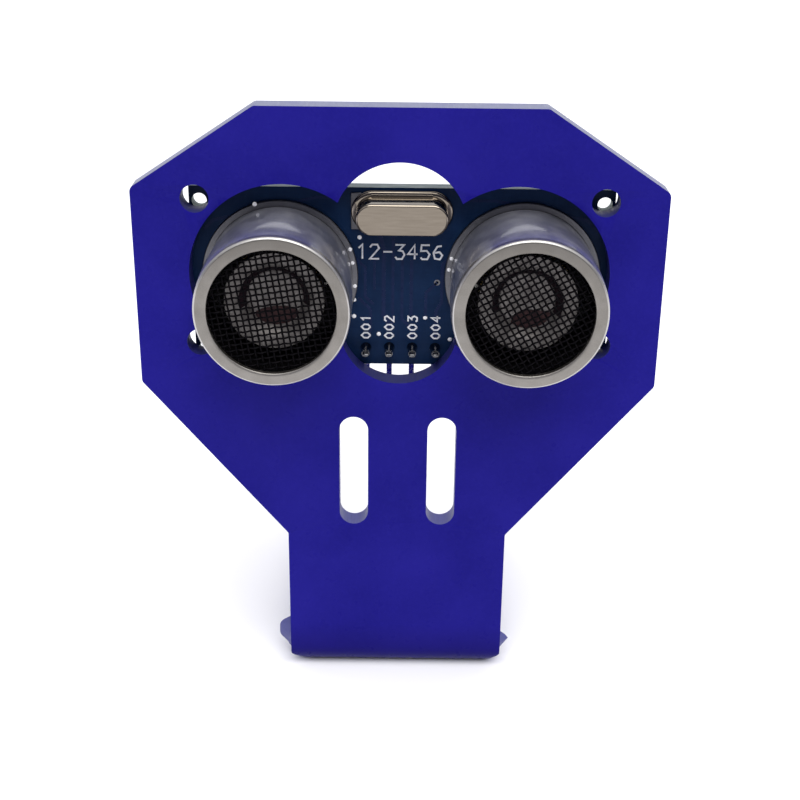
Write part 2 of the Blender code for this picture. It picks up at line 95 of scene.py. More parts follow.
class Look:
    """A procedural material. Its methods add nodes and return their output sockets."""

    def __init__(self, name, color, roughness, metallic=0.0, specular=0.5):
        self.material = bpy.data.materials.new(name)
        self.material.use_nodes = True
        self.tree = self.material.node_tree
        self.shader = self.tree.nodes["Principled BSDF"]
        self.shader.inputs["Base Color"].default_value = (*color, 1.0)
        self.shader.inputs["Roughness"].default_value = roughness
        self.shader.inputs["Metallic"].default_value = metallic
        self.shader.inputs["Specular IOR Level"].default_value = specular
        self.material.diffuse_color = (*color, 1.0)

    def node(self, kind, **settings):
        made = self.tree.nodes.new(kind)
        for key, value in settings.items():
            setattr(made, key, value)
        return made

    def feed(self, socket, value):
        if isinstance(value, bpy.types.NodeSocket):
            self.tree.links.new(value, socket)
        else:
            socket.default_value = value

    def place(self, stretch=(1, 1, 1), turn=(0, 0, 0)):
        """Object coordinates in millimetres, each divided by its stretch."""
        coords = self.node("ShaderNodeTexCoord")
        mapping = self.node("ShaderNodeMapping", vector_type="POINT")
        mapping.inputs["Scale"].default_value = [1 / (MM * s) for s in stretch]
        mapping.inputs["Rotation"].default_value = [math.radians(a) for a in turn]
        self.tree.links.new(coords.outputs["Object"], mapping.inputs["Vector"])
        return mapping.outputs["Vector"]

    def height(self, low, high, start=0.0, end=1.0):
        """Height above the floor in millimetres, turned into a value like ramp does."""
        parts = self.node("ShaderNodeSeparateXYZ")
        self.tree.links.new(self.place(), parts.inputs["Vector"])
        return self.ramp(parts.outputs["Z"], low, high, start, end)

    def noise(self, size, detail=3.0, stretch=(1, 1, 1), turn=(0, 0, 0), roughness=0.55):
        made = self.node("ShaderNodeTexNoise")
        self.feed(made.inputs["Vector"], self.place(stretch, turn))
        made.inputs["Scale"].default_value = 1 / size
        made.inputs["Detail"].default_value = detail
        made.inputs["Roughness"].default_value = roughness
        return made.outputs["Fac"]

    def cells(self, size):
        made = self.node("ShaderNodeTexVoronoi", feature="F1")
        self.feed(made.inputs["Vector"], self.place())
        made.inputs["Scale"].default_value = 1 / size
        return made.outputs["Distance"]

    def math(self, operation, a, b=0.0):
        made = self.node("ShaderNodeMath", operation=operation)
        self.feed(made.inputs[0], a)
        self.feed(made.inputs[1], b)
        return made.outputs[0]

    def ramp(self, value, low, high, start=0.0, end=1.0):
        """Value between low and high becomes start to end, held flat outside them."""
        made = self.node("ShaderNodeMapRange", clamp=True)
        self.feed(made.inputs["Value"], value)
        for label, number in zip(("From Min", "From Max", "To Min", "To Max"), (low, high, start, end)):
            made.inputs[label].default_value = number
        return made.outputs["Result"]

    def blend(self, share, first, second):
        made = self.node("ShaderNodeMix", data_type="RGBA")
        self.feed(made.inputs[0], share)
        for index, value in ((6, first), (7, second)):
            self.feed(made.inputs[index], (*value, 1.0) if isinstance(value, tuple) else value)
        return made.outputs[2]

    def color(self, value):
        self.feed(self.shader.inputs["Base Color"], value)

    def roughness(self, value):
        self.feed(self.shader.inputs["Roughness"], value)

    def bump(self, height, depth_mm, strength=1.0):
        made = self.node("ShaderNodeBump")
        made.inputs["Distance"].default_value = depth_mm * MM
        made.inputs["Strength"].default_value = strength
        self.feed(made.inputs["Height"], height)
        self.tree.links.new(made.outputs["Normal"], self.shader.inputs["Normal"])


def acrylic_face():
    look = Look("acrylic_face", (0.008, 0.006, 0.19), 0.32, specular=0.07)
    cloud = look.noise(9.0, 2.0)
    base = look.blend(look.ramp(cloud, 0.3, 0.7), (0.0065, 0.0045, 0.168), (0.0105, 0.0075, 0.205))
    grain = look.noise(0.35, 2.0)
    base = look.blend(look.ramp(grain, 0.45, 0.75, 0.0, 0.3), base, (0.016, 0.012, 0.235))
    dust = look.ramp(look.cells(6.5), 0.0, 0.026, 1.0, 0.0)
    chosen = look.ramp(look.noise(5.0, 0.0), 0.57, 0.61)
    base = look.blend(look.math("MULTIPLY", dust, chosen), base, (0.30, 0.30, 0.48))
    scuff = look.noise(0.5, 4.0, stretch=(3.0, 1.0, 0.35), turn=(0, 12, 0), roughness=0.7)
    base = look.blend(look.ramp(scuff, 0.68, 0.82, 0.0, 0.12), base, (0.07, 0.07, 0.30))
    # painted shade: the face darkens low down towards the bend and foot, where less light falls
    base = look.blend(look.height(1.5, 6.0, 0.75, 0.0), base, (0.006, 0.003, 0.10))
    look.color(base)
    look.roughness(look.ramp(look.noise(1.6, 4.0), 0.3, 0.75, 0.24, 0.42))
    look.bump(look.noise(2.2, 3.0), 0.012, 0.5)
    return look.material


def acrylic_edge(name, dark, light, stain, specular=0.25):
    """A laser-cut edge, with fine lines across the sheet's thickness."""
    look = Look(name, light, 0.4, specular=specular)
    lines = look.noise(0.16, 3.0, stretch=(1.0, 14.0, 1.0), roughness=0.7)
    base = look.blend(look.ramp(lines, 0.3, 0.7), dark, light)
    base = look.blend(look.ramp(look.noise(2.5, 2.0), 0.35, 0.75, 0.0, 0.5), base, stain)
    # painted shade: the cut edge darkens low down, below about 15 mm above the floor
    base = look.blend(look.height(4.0, 15.0, 1.0, 0.0), base, (0.08, 0.085, 0.25))
    look.color(base)
    look.roughness(look.ramp(lines, 0.3, 0.7, 0.32, 0.55))
    look.bump(lines, 0.02, 0.6)
    return look.material


def solder_mask():
    look = Look("solder_mask", (0.004, 0.013, 0.046), 0.35, specular=0.05)
    cloud = look.ramp(look.noise(3.5, 3.0), 0.3, 0.7)
    base = look.blend(cloud, (0.0025, 0.0115, 0.040), (0.0045, 0.017, 0.054))
    weave = look.math("ADD", look.noise(0.25, 1.0, (1, 1, 6)), look.noise(0.25, 1.0, (6, 1, 1)))
    base = look.blend(look.ramp(weave, 0.85, 1.3, 0.0, 0.25), base, (0.007, 0.024, 0.066))
    look.color(base)
    look.roughness(look.ramp(look.noise(1.2, 3.0), 0.3, 0.7, 0.28, 0.42))
    look.bump(weave, 0.006, 0.5)
    return look.material


def board_edge():
    look = Look("board_edge", (0.27, 0.32, 0.31), 0.7, specular=0.3)
    layers = look.noise(0.2, 2.0, stretch=(8.0, 1.0, 8.0))
    base = look.blend(look.ramp(layers, 0.35, 0.65), (0.20, 0.25, 0.25), (0.36, 0.40, 0.38))
    look.color(base)
    look.bump(layers, 0.02, 0.7)
    return look.material


def silkscreen():
    look = Look("silkscreen_ink", (0.68, 0.68, 0.7), 0.55, specular=0.3)
    wear = look.ramp(look.noise(0.22, 3.0), 0.4, 0.75)
    look.color(look.blend(wear, (0.64, 0.65, 0.68), (0.44, 0.46, 0.50)))
    look.roughness(look.ramp(wear, 0.0, 1.0, 0.5, 0.7))
    return look.material


def can_side():
    look = Look("can_side_metal", (0.40, 0.40, 0.43), 0.42, 0.85)
    look.shader.inputs["Coat Weight"].default_value = 0.8
    look.shader.inputs["Coat Roughness"].default_value = 0.1
    drawn = look.noise(0.14, 3.0, stretch=(1.0, 18.0, 1.0), roughness=0.6)
    cloud = look.noise(2.2, 4.0, roughness=0.6)
    # both tones are tinted blue: a painted reflection of the blue plate; the cloud picks between them at
    # random
    base = look.blend(look.ramp(cloud, 0.35, 0.7), (0.30, 0.305, 0.375), (0.44, 0.44, 0.49))
    base = look.blend(look.ramp(drawn, 0.5, 0.75, 0.0, 0.25), base, (0.50, 0.50, 0.53))
    pits = look.ramp(look.cells(1.1), 0.0, 0.07, 1.0, 0.0)
    some = look.ramp(look.noise(1.4, 0.0), 0.54, 0.64)
    base = look.blend(look.math("MULTIPLY", pits, some), base, (0.7, 0.7, 0.73))
    look.color(base)
    look.roughness(look.ramp(cloud, 0.3, 0.75, 0.36, 0.48))
    look.bump(drawn, 0.004, 0.4)
    return look.material


def can_rim(name, dark, light, spark):
    """Bead-blasted aluminium, with painted shade above the cans' axes and painted light below them."""
    look = Look(name, light, 0.36, 1.0)
    grain = look.noise(0.12, 4.0, roughness=0.7)
    base = look.blend(look.ramp(look.noise(1.8, 3.0), 0.3, 0.7), dark, light)
    base = look.blend(look.ramp(grain, 0.4, 0.75, 0.0, 0.4), base, spark)
    # painted light below the cans' axes and painted shade above them
    axis = AXIS_Z / MM
    base = look.blend(look.height(axis - 8, axis - 1, 0.3, 0.0), base, spark)
    base = look.blend(look.height(axis + 2, axis + 8, 0.0, 0.7), base, tuple(c * 0.75 for c in dark))
    look.color(base)
    look.roughness(look.ramp(grain, 0.3, 0.7, 0.28, 0.42))
    look.bump(grain, 0.006, 0.5)
    return look.material


def crystal_steel():
    look = Look("crystal_steel", (0.22, 0.19, 0.155), 0.14, 1.0)
    rolled = look.noise(0.2, 3.0, stretch=(14.0, 1.0, 1.0), roughness=0.6)
    look.color(look.blend(look.ramp(rolled, 0.3, 0.7), (0.195, 0.167, 0.134), (0.24, 0.208, 0.168)))
    look.roughness(look.ramp(look.noise(0.9, 3.0), 0.3, 0.7, 0.05, 0.09))
    look.bump(rolled, 0.002, 0.4)
    return look.material


def mottled(name, dark, light, tone, rough, relief=None, metallic=0.0, specular=0.5):
    """A surface that wanders between two tones.

    tone: noise size, detail and the two noise values that give the tones. rough: noise size, detail
    and the two roughnesses. relief: noise size, detail, depth in millimetres and strength.
    """
    look = Look(name, light, rough[-1], metallic, specular)
    size, detail, low, high = tone
    look.color(look.blend(look.ramp(look.noise(size, detail), low, high), dark, light))
    size, detail, fine, coarse = rough
    look.roughness(look.ramp(look.noise(size, detail), 0.3, 0.7, fine, coarse))
    if relief:
        size, detail, depth, strength = relief
        look.bump(look.noise(size, detail), depth, strength)
    return look.material


def metal(name, color):
    """Tinned or bare metal, drawn and lightly tarnished."""
    dark = tuple(c * 0.72 for c in color)
    tone, rough, relief = (0.35, 3.0, 0.3, 0.7), (0.25, 3.0, 0.18, 0.36), (0.3, 3.0, 0.01, 0.3)
    return mottled(name, dark, color, tone, rough, relief, metallic=1.0)


def solder(name, dark, light):
    tone, rough, relief = (0.3, 2.0, 0.3, 0.7), (0.2, 3.0, 0.08, 0.22), (0.5, 2.0, 0.04, 0.5)
    return mottled(name, dark, light, tone, rough, relief, metallic=1.0)


def glue(name, dark, light):
    tone, rough, relief = (0.8, 3.0, 0.3, 0.7), (0.5, 2.0, 0.4, 0.6), (0.7, 3.0, 0.05, 0.5)
    return mottled(name, dark, light, tone, rough, relief, specular=0.1)


def moulded(name, dark, light, size=0.12, depth=0.02, low=0.45, high=0.65, specular=0.4):
    """Moulded black resin with a fine spark-eroded grain."""
    look = Look(name, dark, (low + high) / 2, specular=specular)
    grain = look.noise(size, 3.0, roughness=0.65)
    look.color(look.blend(look.ramp(grain, 0.3, 0.7), dark, light))
    look.roughness(look.ramp(grain, 0.3, 0.7, low, high))
    look.bump(grain, depth, 0.6)
    return look.material


def silicone():
    look = Look("silicone", (0.75, 0.75, 0.72), 0.55)
    look.shader.inputs["Subsurface Weight"].default_value = 0.2
    look.shader.inputs["Subsurface Scale"].default_value = 0.0005
    look.color(look.blend(look.noise(0.8, 2.0), (0.68, 0.68, 0.64), (0.8, 0.8, 0.77)))
    look.bump(look.noise(0.3, 2.0), 0.02, 0.4)
    return look.material


def floor_paper():
    look = Look("floor_paper", (0.86, 0.86, 0.88), 0.9, specular=0.05)
    look.color(look.blend(look.noise(60.0, 2.0), (0.85, 0.85, 0.875), (0.87, 0.87, 0.885)))
    return look.material


LOOKS = {
    "face": acrylic_face(),
    "edge": acrylic_edge("acrylic_edge", (0.13, 0.14, 0.23), (0.235, 0.25, 0.335), (0.12, 0.125, 0.27)),
    # darker copies of the cut edge: painted shade on the slot walls, deeper painted shade on the walls round
    # the eyes, the middle window and the corner holes
    "slot_edge_shaded": acrylic_edge(
        "acrylic_slot_edge_painted_shade", (0.052, 0.056, 0.20), (0.10, 0.107, 0.29), (0.065, 0.065, 0.25)
    ),
    "socket_edge_shaded": acrylic_edge(
        "acrylic_socket_edge_painted_shade", (0.015, 0.017, 0.095), (0.03, 0.034, 0.16), (0.022, 0.022, 0.13), 0.1
    ),
    "mask": solder_mask(),
    "copper": mottled(
        "masked_copper", (0.006, 0.0125, 0.046), (0.009, 0.018, 0.060),
        (0.9, 3.0, 0.3, 0.7), (0.5, 2.0, 0.25, 0.4), specular=0.06,
    ),
    "board_edge": board_edge(),
    "ink": silkscreen(),
    "side": can_side(),
    "rim": can_rim("can_rim_metal", (0.19, 0.178, 0.16), (0.25, 0.236, 0.215), (0.36, 0.34, 0.315)),
    "flange": can_rim("can_flange_metal", (0.085, 0.085, 0.095), (0.12, 0.12, 0.13), (0.19, 0.19, 0.20)),
    # a brighter copy of the rim metal for the rolled edge: a painted highlight all round the rim
    "rim_edge_highlight": can_rim("can_rim_painted_highlight", (0.46, 0.45, 0.43), (0.54, 0.53, 0.51), (0.62, 0.61, 0.59)),
    "lining": mottled(
        "dark_lining", (0.004, 0.004, 0.005), (0.011, 0.010, 0.011),
        (0.6, 3.0, 0.0, 1.0), (0.6, 3.0, 0.6, 0.6), specular=0.15,
    ),
    "wire": mottled(
        "black_wire", (0.002, 0.002, 0.003), (0.006, 0.005, 0.006),
        (0.3, 2.0, 0.35, 0.7), (0.2, 2.0, 0.4, 0.6), specular=0.03,
    ),
    "cone": mottled(
        "cone_metal", (0.17, 0.155, 0.15), (0.30, 0.28, 0.27),
        (1.3, 3.0, 0.3, 0.7), (0.4, 3.0, 0.35, 0.55), (0.5, 3.0, 0.02, 0.4), metallic=0.6,
    ),
    "glue": glue("cone_glue", (0.028, 0.016, 0.022), (0.095, 0.05, 0.05)),
    # painted shade for the upper part of the cone's cup wall
    "cone_wall_shade": glue("cone_wall_painted_shade", (0.011, 0.007, 0.010), (0.022, 0.012, 0.017)),
    "crystal": crystal_steel(),
    "tin": metal("bright_tin", (0.62, 0.61, 0.58)),
    "brass": metal("diaphragm_brass", (0.62, 0.46, 0.22)),
    "solder": solder("solder_alloy", (0.42, 0.42, 0.43), (0.62, 0.62, 0.61)),
    # a darker copy of the solder for the front joints and pin ends: a painted dark reflection
    "flux_solder": solder("fluxed_solder", (0.06, 0.06, 0.065), (0.16, 0.16, 0.165)),
    # a brighter, paler copy of tin for the vias: a painted glint on each solder dome
    "via": mottled(
        "via_tin_painted_glint", (0.70, 0.70, 0.72), (0.88, 0.88, 0.89),
        (0.15, 2.0, 0.35, 0.7), (0.2, 2.0, 0.3, 0.5), metallic=0.2,
    ),
    "nylon": moulded("black_nylon", (0.010, 0.010, 0.011), (0.022, 0.022, 0.024), low=0.35, high=0.5),
    "package": moulded("chip_package", (0.018, 0.018, 0.020), (0.034, 0.034, 0.036)),
    "resin": moulded("terminal_resin", (0.012, 0.012, 0.014), (0.03, 0.03, 0.032), 0.2),
    "film": moulded("resistor_film", (0.014, 0.014, 0.016), (0.03, 0.03, 0.034), 0.15, low=0.25, high=0.4),
    "alumina": moulded("resistor_alumina", (0.66, 0.66, 0.63), (0.76, 0.76, 0.74), 0.15),
    "tan": moulded("capacitor_ceramic", (0.30, 0.20, 0.11), (0.40, 0.28, 0.17), 0.15, 0.01),
    "ceramic": moulded("piezo_ceramic", (0.62, 0.58, 0.48), (0.74, 0.70, 0.6), 0.2, 0.01),
    "silicone": silicone(),
}

# ---------------------------------------------------------------- mesh building


def arc(centre, radius, start, end, count):
    points = []
    for step in range(count + 1):
        angle = math.radians(start + (end - start) * step / count)
        points.append((centre[0] + radius * math.cos(angle), centre[1] + radius * math.sin(angle)))
    return points


def circle(centre, radius, count):
    return arc(centre, radius, 0.0, 360.0, count)[:-1]


def angle_of(point, centre):
    return math.degrees(math.atan2(point[1] - centre[1], point[0] - centre[0]))


def rectangle(centre, width, height):
    x, z = centre
    u, v = width / 2, height / 2
    return [(x - u, z - v), (x + u, z - v), (x + u, z + v), (x - u, z + v)]


def obround(centre, width, height, count):
    radius = min(width, height) / 2
    if width > height:
        reach = width / 2 - radius
        right = arc((centre[0] + reach, centre[1]), radius, -90, 90, count)
        return right + arc((centre[0] - reach, centre[1]), radius, 90, 270, count)
    reach = height / 2 - radius
    top = arc((centre[0], centre[1] + reach), radius, 0, 180, count)
    return top + arc((centre[0], centre[1] - reach), radius, 180, 360, count)


def rounded(corners, count):
    """Outline from corners (x, z, radius), each turned into an arc."""
    points = []
    for i, (x, z, radius) in enumerate(corners):
        here = Vector((x, z))
        before = (Vector(corners[i - 1][:2]) - here).normalized()
        after = (Vector(corners[(i + 1) % len(corners)][:2]) - here).normalized()
        half = before.angle(after) / 2
        centre = here + (before + after).normalized() * radius / math.sin(half)
        start = angle_of(here + before * radius / math.tan(half), centre)
        end = angle_of(here + after * radius / math.tan(half), centre)
        points += arc(centre, radius, start, start + (end - start + 180) % 360 - 180, count)
    return points


def crossing(centre_a, radius_a, centre_b, radius_b, side):
    """One of the two points where two circles cross; side +1 or -1 picks which."""
    dx, dz = centre_b[0] - centre_a[0], centre_b[1] - centre_a[1]
    apart = math.hypot(dx, dz)
    along = (apart**2 + radius_a**2 - radius_b**2) / (2 * apart)
    off = side * math.sqrt(radius_a**2 - along**2)
    return (
        centre_a[0] + (along * dx - off * dz) / apart,
        centre_a[1] + (along * dz + off * dx) / apart,
    )


def sheet_mesh(outline, holes, lift):
    """A flat sheet with holes, thickened from lift(u, v, 0) to lift(u, v, 1)."""
    bm = bmesh.new()
    edges = []
    for loop in [outline, *holes]:
        ring = [bm.verts.new(lift(u, v, 0)) for u, v in loop]
        for first, second in zip(ring, ring[1:] + ring[:1]):
            edges.append(bm.edges.new((first, second)))
    filled = bmesh.ops.triangle_fill(bm, use_beauty=True, edges=edges)
    faces = [item for item in filled["geom"] if isinstance(item, bmesh.types.BMFace)]
    raised = bmesh.ops.extrude_face_region(bm, geom=faces, use_keep_orig=True)
    step = Vector(lift(0, 0, 1)) - Vector(lift(0, 0, 0))
    moved = [item for item in raised["geom"] if isinstance(item, bmesh.types.BMVert)]
    bmesh.ops.translate(bm, vec=step, verts=moved)
    bmesh.ops.recalc_face_normals(bm, faces=bm.faces)
    return bm


def plate_mesh(outline, holes, front, back):
    return sheet_mesh(outline, holes, lambda u, v, t: (u, front + (back - front) * t, v))


def soften(bm, width, segments, wanted):
    """Round the edges for which wanted(edge) is true."""
    edges = [edge for edge in bm.edges if edge.is_manifold and wanted(edge)]
    return bmesh.ops.bevel(
        bm,
        geom=edges,
        offset=width,
        offset_type="OFFSET",
        segments=segments,
        profile=0.5,
        affect="EDGES",
        clamp_overlap=True,
    )["faces"]


def is_sharp(edge, degrees):
    return edge.calc_face_angle(0.0) > math.radians(degrees)


def loft(bm, loops, slots=None):
    """Add a closed solid to bm: rings of equal length, capped at both ends."""
    rings = [[bm.verts.new(point) for point in loop] for loop in loops]
    for k, (near, far) in enumerate(zip(rings, rings[1:])):
        for i in range(len(near)):
            j = (i + 1) % len(near)
            face = bm.faces.new((near[i], near[j], far[j], far[i]))
            face.material_index = slots[k] if slots else 0
    for ring, k in ((rings[0], 0), (rings[-1], -1)):
        cap = bm.faces.new(ring)
        cap.material_index = slots[k] if slots else 0


def lathe(bm, profile, x, z, front, count, slots=None):
    """Add a turned solid to bm: a closed (radius, depth) profile about an axis along Y."""
    rings = []
    for radius, depth in profile:
        y = front + depth
        if radius == 0:
            rings.append([bm.verts.new((x, y, z))])
        else:
            rings.append([bm.verts.new((u, y, v)) for u, v in circle((x, z), radius, count)])
    for k, (near, far) in enumerate(zip(rings, rings[1:] + rings[:1])):
        if len(near) == 1 and len(far) == 1:
            continue
        for i in range(count):
            j = (i + 1) % count
            corners = [near[i % len(near)], near[j % len(near)], far[j % len(far)], far[i % len(far)]]
            face = bm.faces.new(list(dict.fromkeys(corners)))
            face.material_index = slots[k] if slots else 0


def ribbon(bm, points, width, front, back):
    """Add a flat strip of even width along points (x, z), between two depths."""
    loops = []
    for i, point in enumerate(points):
        here = Vector(point)
        before = (here - Vector(points[i - 1])).normalized() if i else None
        after = (Vector(points[i + 1]) - here).normalized() if i + 1 < len(points) else None
        way = ((before or after) + (after or before)).normalized()
        side = Vector((-way.y, way.x))
        bend = 1 / max(0.5, way.dot(after or before))
        u = side * (width / 2 * bend)
        a, b = here + u, here - u
        loops.append([(a.x, front, a.y), (b.x, front, b.y), (b.x, back, b.y), (a.x, back, a.y)])
    loft(bm, loops)


def box(bm, centre, size, chamfer, slot=0):
    """Add a block to bm; every edge is chamfered by the same amount."""
    half = [s / 2 for s in size]
    loops = []
    flat = half[1] - chamfer
    c = chamfer * 0.999
    for inset, y in ((chamfer, -half[1]), (0, -flat), (0, flat), (chamfer, half[1])):
        u, v = half[0] - inset, half[2] - inset
        ring = [(-u + c, -v), (u - c, -v), (u, -v + c), (u, v - c)]
        ring += [(-a, -b) for a, b in ring]
        loops.append([(centre[0] + a, centre[1] + y, centre[2] + b) for a, b in ring])
    loft(bm, loops, [slot] * len(loops))


def piece(name, bm, looks, nodes=(), body="sensor_module", x0=MODULE_X, smooth=35, weighted=False):
    """Turn a bmesh in face-frame millimetres into a named piece on a CAD body."""
    bmesh.ops.recalc_face_normals(bm, faces=bm.faces)
    for vert in bm.verts:
        vert.co = Vector((x0, FACE_Y, AXIS_Z)) + vert.co * MM
    mesh = bpy.data.meshes.new(name)
    bm.to_mesh(mesh)
    bm.free()
    for look in looks:
        mesh.materials.append(LOOKS[look])
    mesh.shade_smooth()
    mesh.set_sharp_from_angle(angle=math.radians(smooth))
    made = bpy.data.objects.new(name, mesh)
    bpy.context.collection.objects.link(made)
    if weighted:
        modifier = made.modifiers.new("even_shading", "WEIGHTED_NORMAL")
        modifier.keep_sharp = True
        modifier.weight = 100
    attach(made, body)
    if nodes:
        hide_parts(*nodes)
    return made


# ---------------------------------------------------------------- bracket

SHEET = 2.5
TOP_HALF_WIDTH, TOP_Z = 15.0, BRACKET_HIGH.z
SHOULDER_HALF_WIDTH, SHOULDER_TOP_Z, SHOULDER_LOW_Z = BRACKET_HIGH.x, 10.1, -11.6
NECK_HALF_WIDTH, NECK_TOP_Z = 12.4, -30.3
PLATE_CORNER = 0.8
CUTOUT_Z = 0.78
EYE_X, EYE_RADIUS = 12.35, 9.9
CENTRE_TOP_RADIUS, CENTRE_LOW_RADIUS, CENTRE_HALF_HEIGHT = 7.05, 6.3, 12.3
CORNER_HOLE_X, CORNER_HOLE_Z = 21.35, 1.07
CORNER_HOLE_RISE, CORNER_HOLE_RADIUS = 7.96, 1.5
SLOT_X, SLOT_WIDTH, SLOT_TOP_Z, SLOT_LOW_Z = 4.9, 3.2, -15.6, -29.0
BEND_OUTER = 2.8
FOOT_LENGTH = BRACKET_HIGH.y
FOOT_HOLE_SETBACK, FOOT_HOLE_RADIUS, FOOT_CORNER = 16.0, 1.6, 2.0
AXIS_HEIGHT = -BRACKET_LOW.z
BEND_MIDDLE = BEND_OUTER - SHEET / 2
BEND_LENGTH = BEND_MIDDLE * math.pi / 2
BEND_TOP = BEND_OUTER - AXIS_HEIGHT
# how far each side's bend swells inside and draws in outside, and the inner and outer middle of that
SWELLS = {LEFT: (1.5, 1.7, -0.9, 2.5), RIGHT: (1.15, 1.4, 0.9, 2.4)}
SWELL_REACH = 1.95
BEND_STEPS = 44
SWELL_COLUMNS = (7.0, 9.2, 10.4, 11.2, 11.8)
SHEET_LAYERS = (0.75, 1.5, 2.25)
EDGE_ROUND = 0.13


def developed(setback):
    """Height on the flat, unbent sheet of a point of the foot that far behind the plate's face."""
    return BEND_TOP - BEND_LENGTH - (setback - BEND_OUTER)


def bent(point):
    """Where a point of the flat sheet goes once the foot is bent back and its sides have swollen."""
    x, depth, z = point
    along = BEND_TOP - z
    share = max(0.0, depth / SHEET)
    widest, drawn_in, inner_middle, outer_middle = SWELLS[RIGHT if x > 0 else LEFT]
    offset = (along - inner_middle * share - outer_middle * (1 - share)) / SWELL_REACH
    if abs(offset) < 1:
        size = widest * share**0.7 - drawn_in * (1 - share)
        edge = math.copysign((abs(x) / NECK_HALF_WIDTH) ** 6, x)
        x += size * edge * (1 - offset**4) ** 2
    if along <= 0:
        return Vector((x, depth, z))
    if along >= BEND_LENGTH:
        return Vector((x, BEND_OUTER + along - BEND_LENGTH, depth - AXIS_HEIGHT))
    radius = BEND_OUTER - depth
    angle = along / BEND_MIDDLE
    return Vector((x, BEND_OUTER - radius * math.cos(angle), BEND_TOP - radius * math.sin(angle)))


def face_cutout():
    """Both eyes and the middle window as one outline."""
    top_centre = (0.0, CUTOUT_Z + CENTRE_HALF_HEIGHT - CENTRE_TOP_RADIUS)
    low_centre = (0.0, CUTOUT_Z - CENTRE_HALF_HEIGHT + CENTRE_LOW_RADIUS)
    eye = (EYE_X, CUTOUT_Z)
    upper = crossing(top_centre, CENTRE_TOP_RADIUS, eye, EYE_RADIUS, 1)
    lower = crossing(low_centre, CENTRE_LOW_RADIUS, eye, EYE_RADIUS, -1)
    half = arc(low_centre, CENTRE_LOW_RADIUS, -90, angle_of(lower, low_centre), 16)
    half += arc(eye, EYE_RADIUS, angle_of(lower, eye), angle_of(upper, eye), 90)[1:]
    half += arc(top_centre, CENTRE_TOP_RADIUS, angle_of(upper, top_centre), 90, 20)[1:]
    return half + [(-x, z) for x, z in reversed(half[1:-1])]


def edge_slot(x, z):
    """Material slot of a place on the flat sheet's cut edge: outline 1, slots 2 with painted shade, sockets 3
    with deeper painted shade.
    """
    if abs(x) < CORNER_HOLE_X + 2 and abs(z - CUTOUT_Z) < CENTRE_HALF_HEIGHT + 0.3:
        return 3
    if abs(x) < SLOT_X + SLOT_WIDTH and developed(FOOT_LENGTH) + 1 < z < SLOT_TOP_Z + 1:
        return 2
    return 1


def on_a_face(edge):
    return is_sharp(edge, 60) and abs(edge.verts[0].co.y - edge.verts[1].co.y) < 0.1


def make_bracket():
    right = [
        (TOP_HALF_WIDTH, TOP_Z, PLATE_CORNER),
        (SHOULDER_HALF_WIDTH, SHOULDER_TOP_Z, PLATE_CORNER),
        (SHOULDER_HALF_WIDTH, SHOULDER_LOW_Z, PLATE_CORNER),
        (NECK_HALF_WIDTH, NECK_TOP_Z, PLATE_CORNER / 2),
        (NECK_HALF_WIDTH, developed(FOOT_LENGTH), FOOT_CORNER),
    ]
    outline = rounded(right + [(-x, z, radius) for x, z, radius in reversed(right)], 7)
    holes = [face_cutout()]
    for side in (LEFT, RIGHT):
        for rise in (-CORNER_HOLE_RISE, CORNER_HOLE_RISE):
            holes.append(circle((side * CORNER_HOLE_X, CORNER_HOLE_Z + rise), CORNER_HOLE_RADIUS, 48))
        slot_centre = (side * SLOT_X, (SLOT_TOP_Z + SLOT_LOW_Z) / 2)
        holes.append(obround(slot_centre, SLOT_WIDTH, SLOT_TOP_Z - SLOT_LOW_Z, 24))
        holes.append(circle((side * SLOT_X, developed(FOOT_HOLE_SETBACK)), FOOT_HOLE_RADIUS, 48))
    bm = plate_mesh(outline, holes, 0, SHEET)
    soften(bm, EDGE_ROUND, 2, on_a_face)
    for face in bm.faces:
        place = face.calc_center_median()
        if abs(face.normal.y) < 0.6:
            face.material_index = edge_slot(place.x, place.z)
    middles = [middle for *_, inner, outer in SWELLS.values() for middle in (inner, outer)]
    zone_top = BEND_TOP - min(middles) + SWELL_REACH
    zone_low = BEND_TOP - max(middles) - SWELL_REACH
    heights = [zone_low + (zone_top - zone_low) * i / BEND_STEPS for i in range(BEND_STEPS + 1)]
    cuts = [((0, 0, z), (0, 0, 1)) for z in sorted({*heights, BEND_TOP, BEND_TOP - BEND_LENGTH})]
    cuts += [((side * x, 0, 0), (1, 0, 0)) for side in (LEFT, RIGHT) for x in SWELL_COLUMNS]
    cuts += [((0, y, 0), (0, 1, 0)) for y in SHEET_LAYERS]
    for place, normal in cuts:
        near = bm.faces
        if normal[2] == 0:
            near = [f for f in bm.faces if zone_low - 0.01 < f.calc_center_median().z < zone_top + 0.01]
        parts = {*near, *(e for f in near for e in f.edges), *(v for f in near for v in f.verts)}
        bmesh.ops.bisect_plane(bm, geom=list(parts), dist=1e-5, plane_co=place, plane_no=normal)
    for vert in bm.verts:
        vert.co = bent(vert.co)
    looks = ["face", "edge", "slot_edge_shaded", "socket_edge_shaded"]
    piece("acrylic_bracket", bm, looks, ["bracket"], "bracket", x0=0.0, weighted=True)


# ---------------------------------------------------------------- circuit board

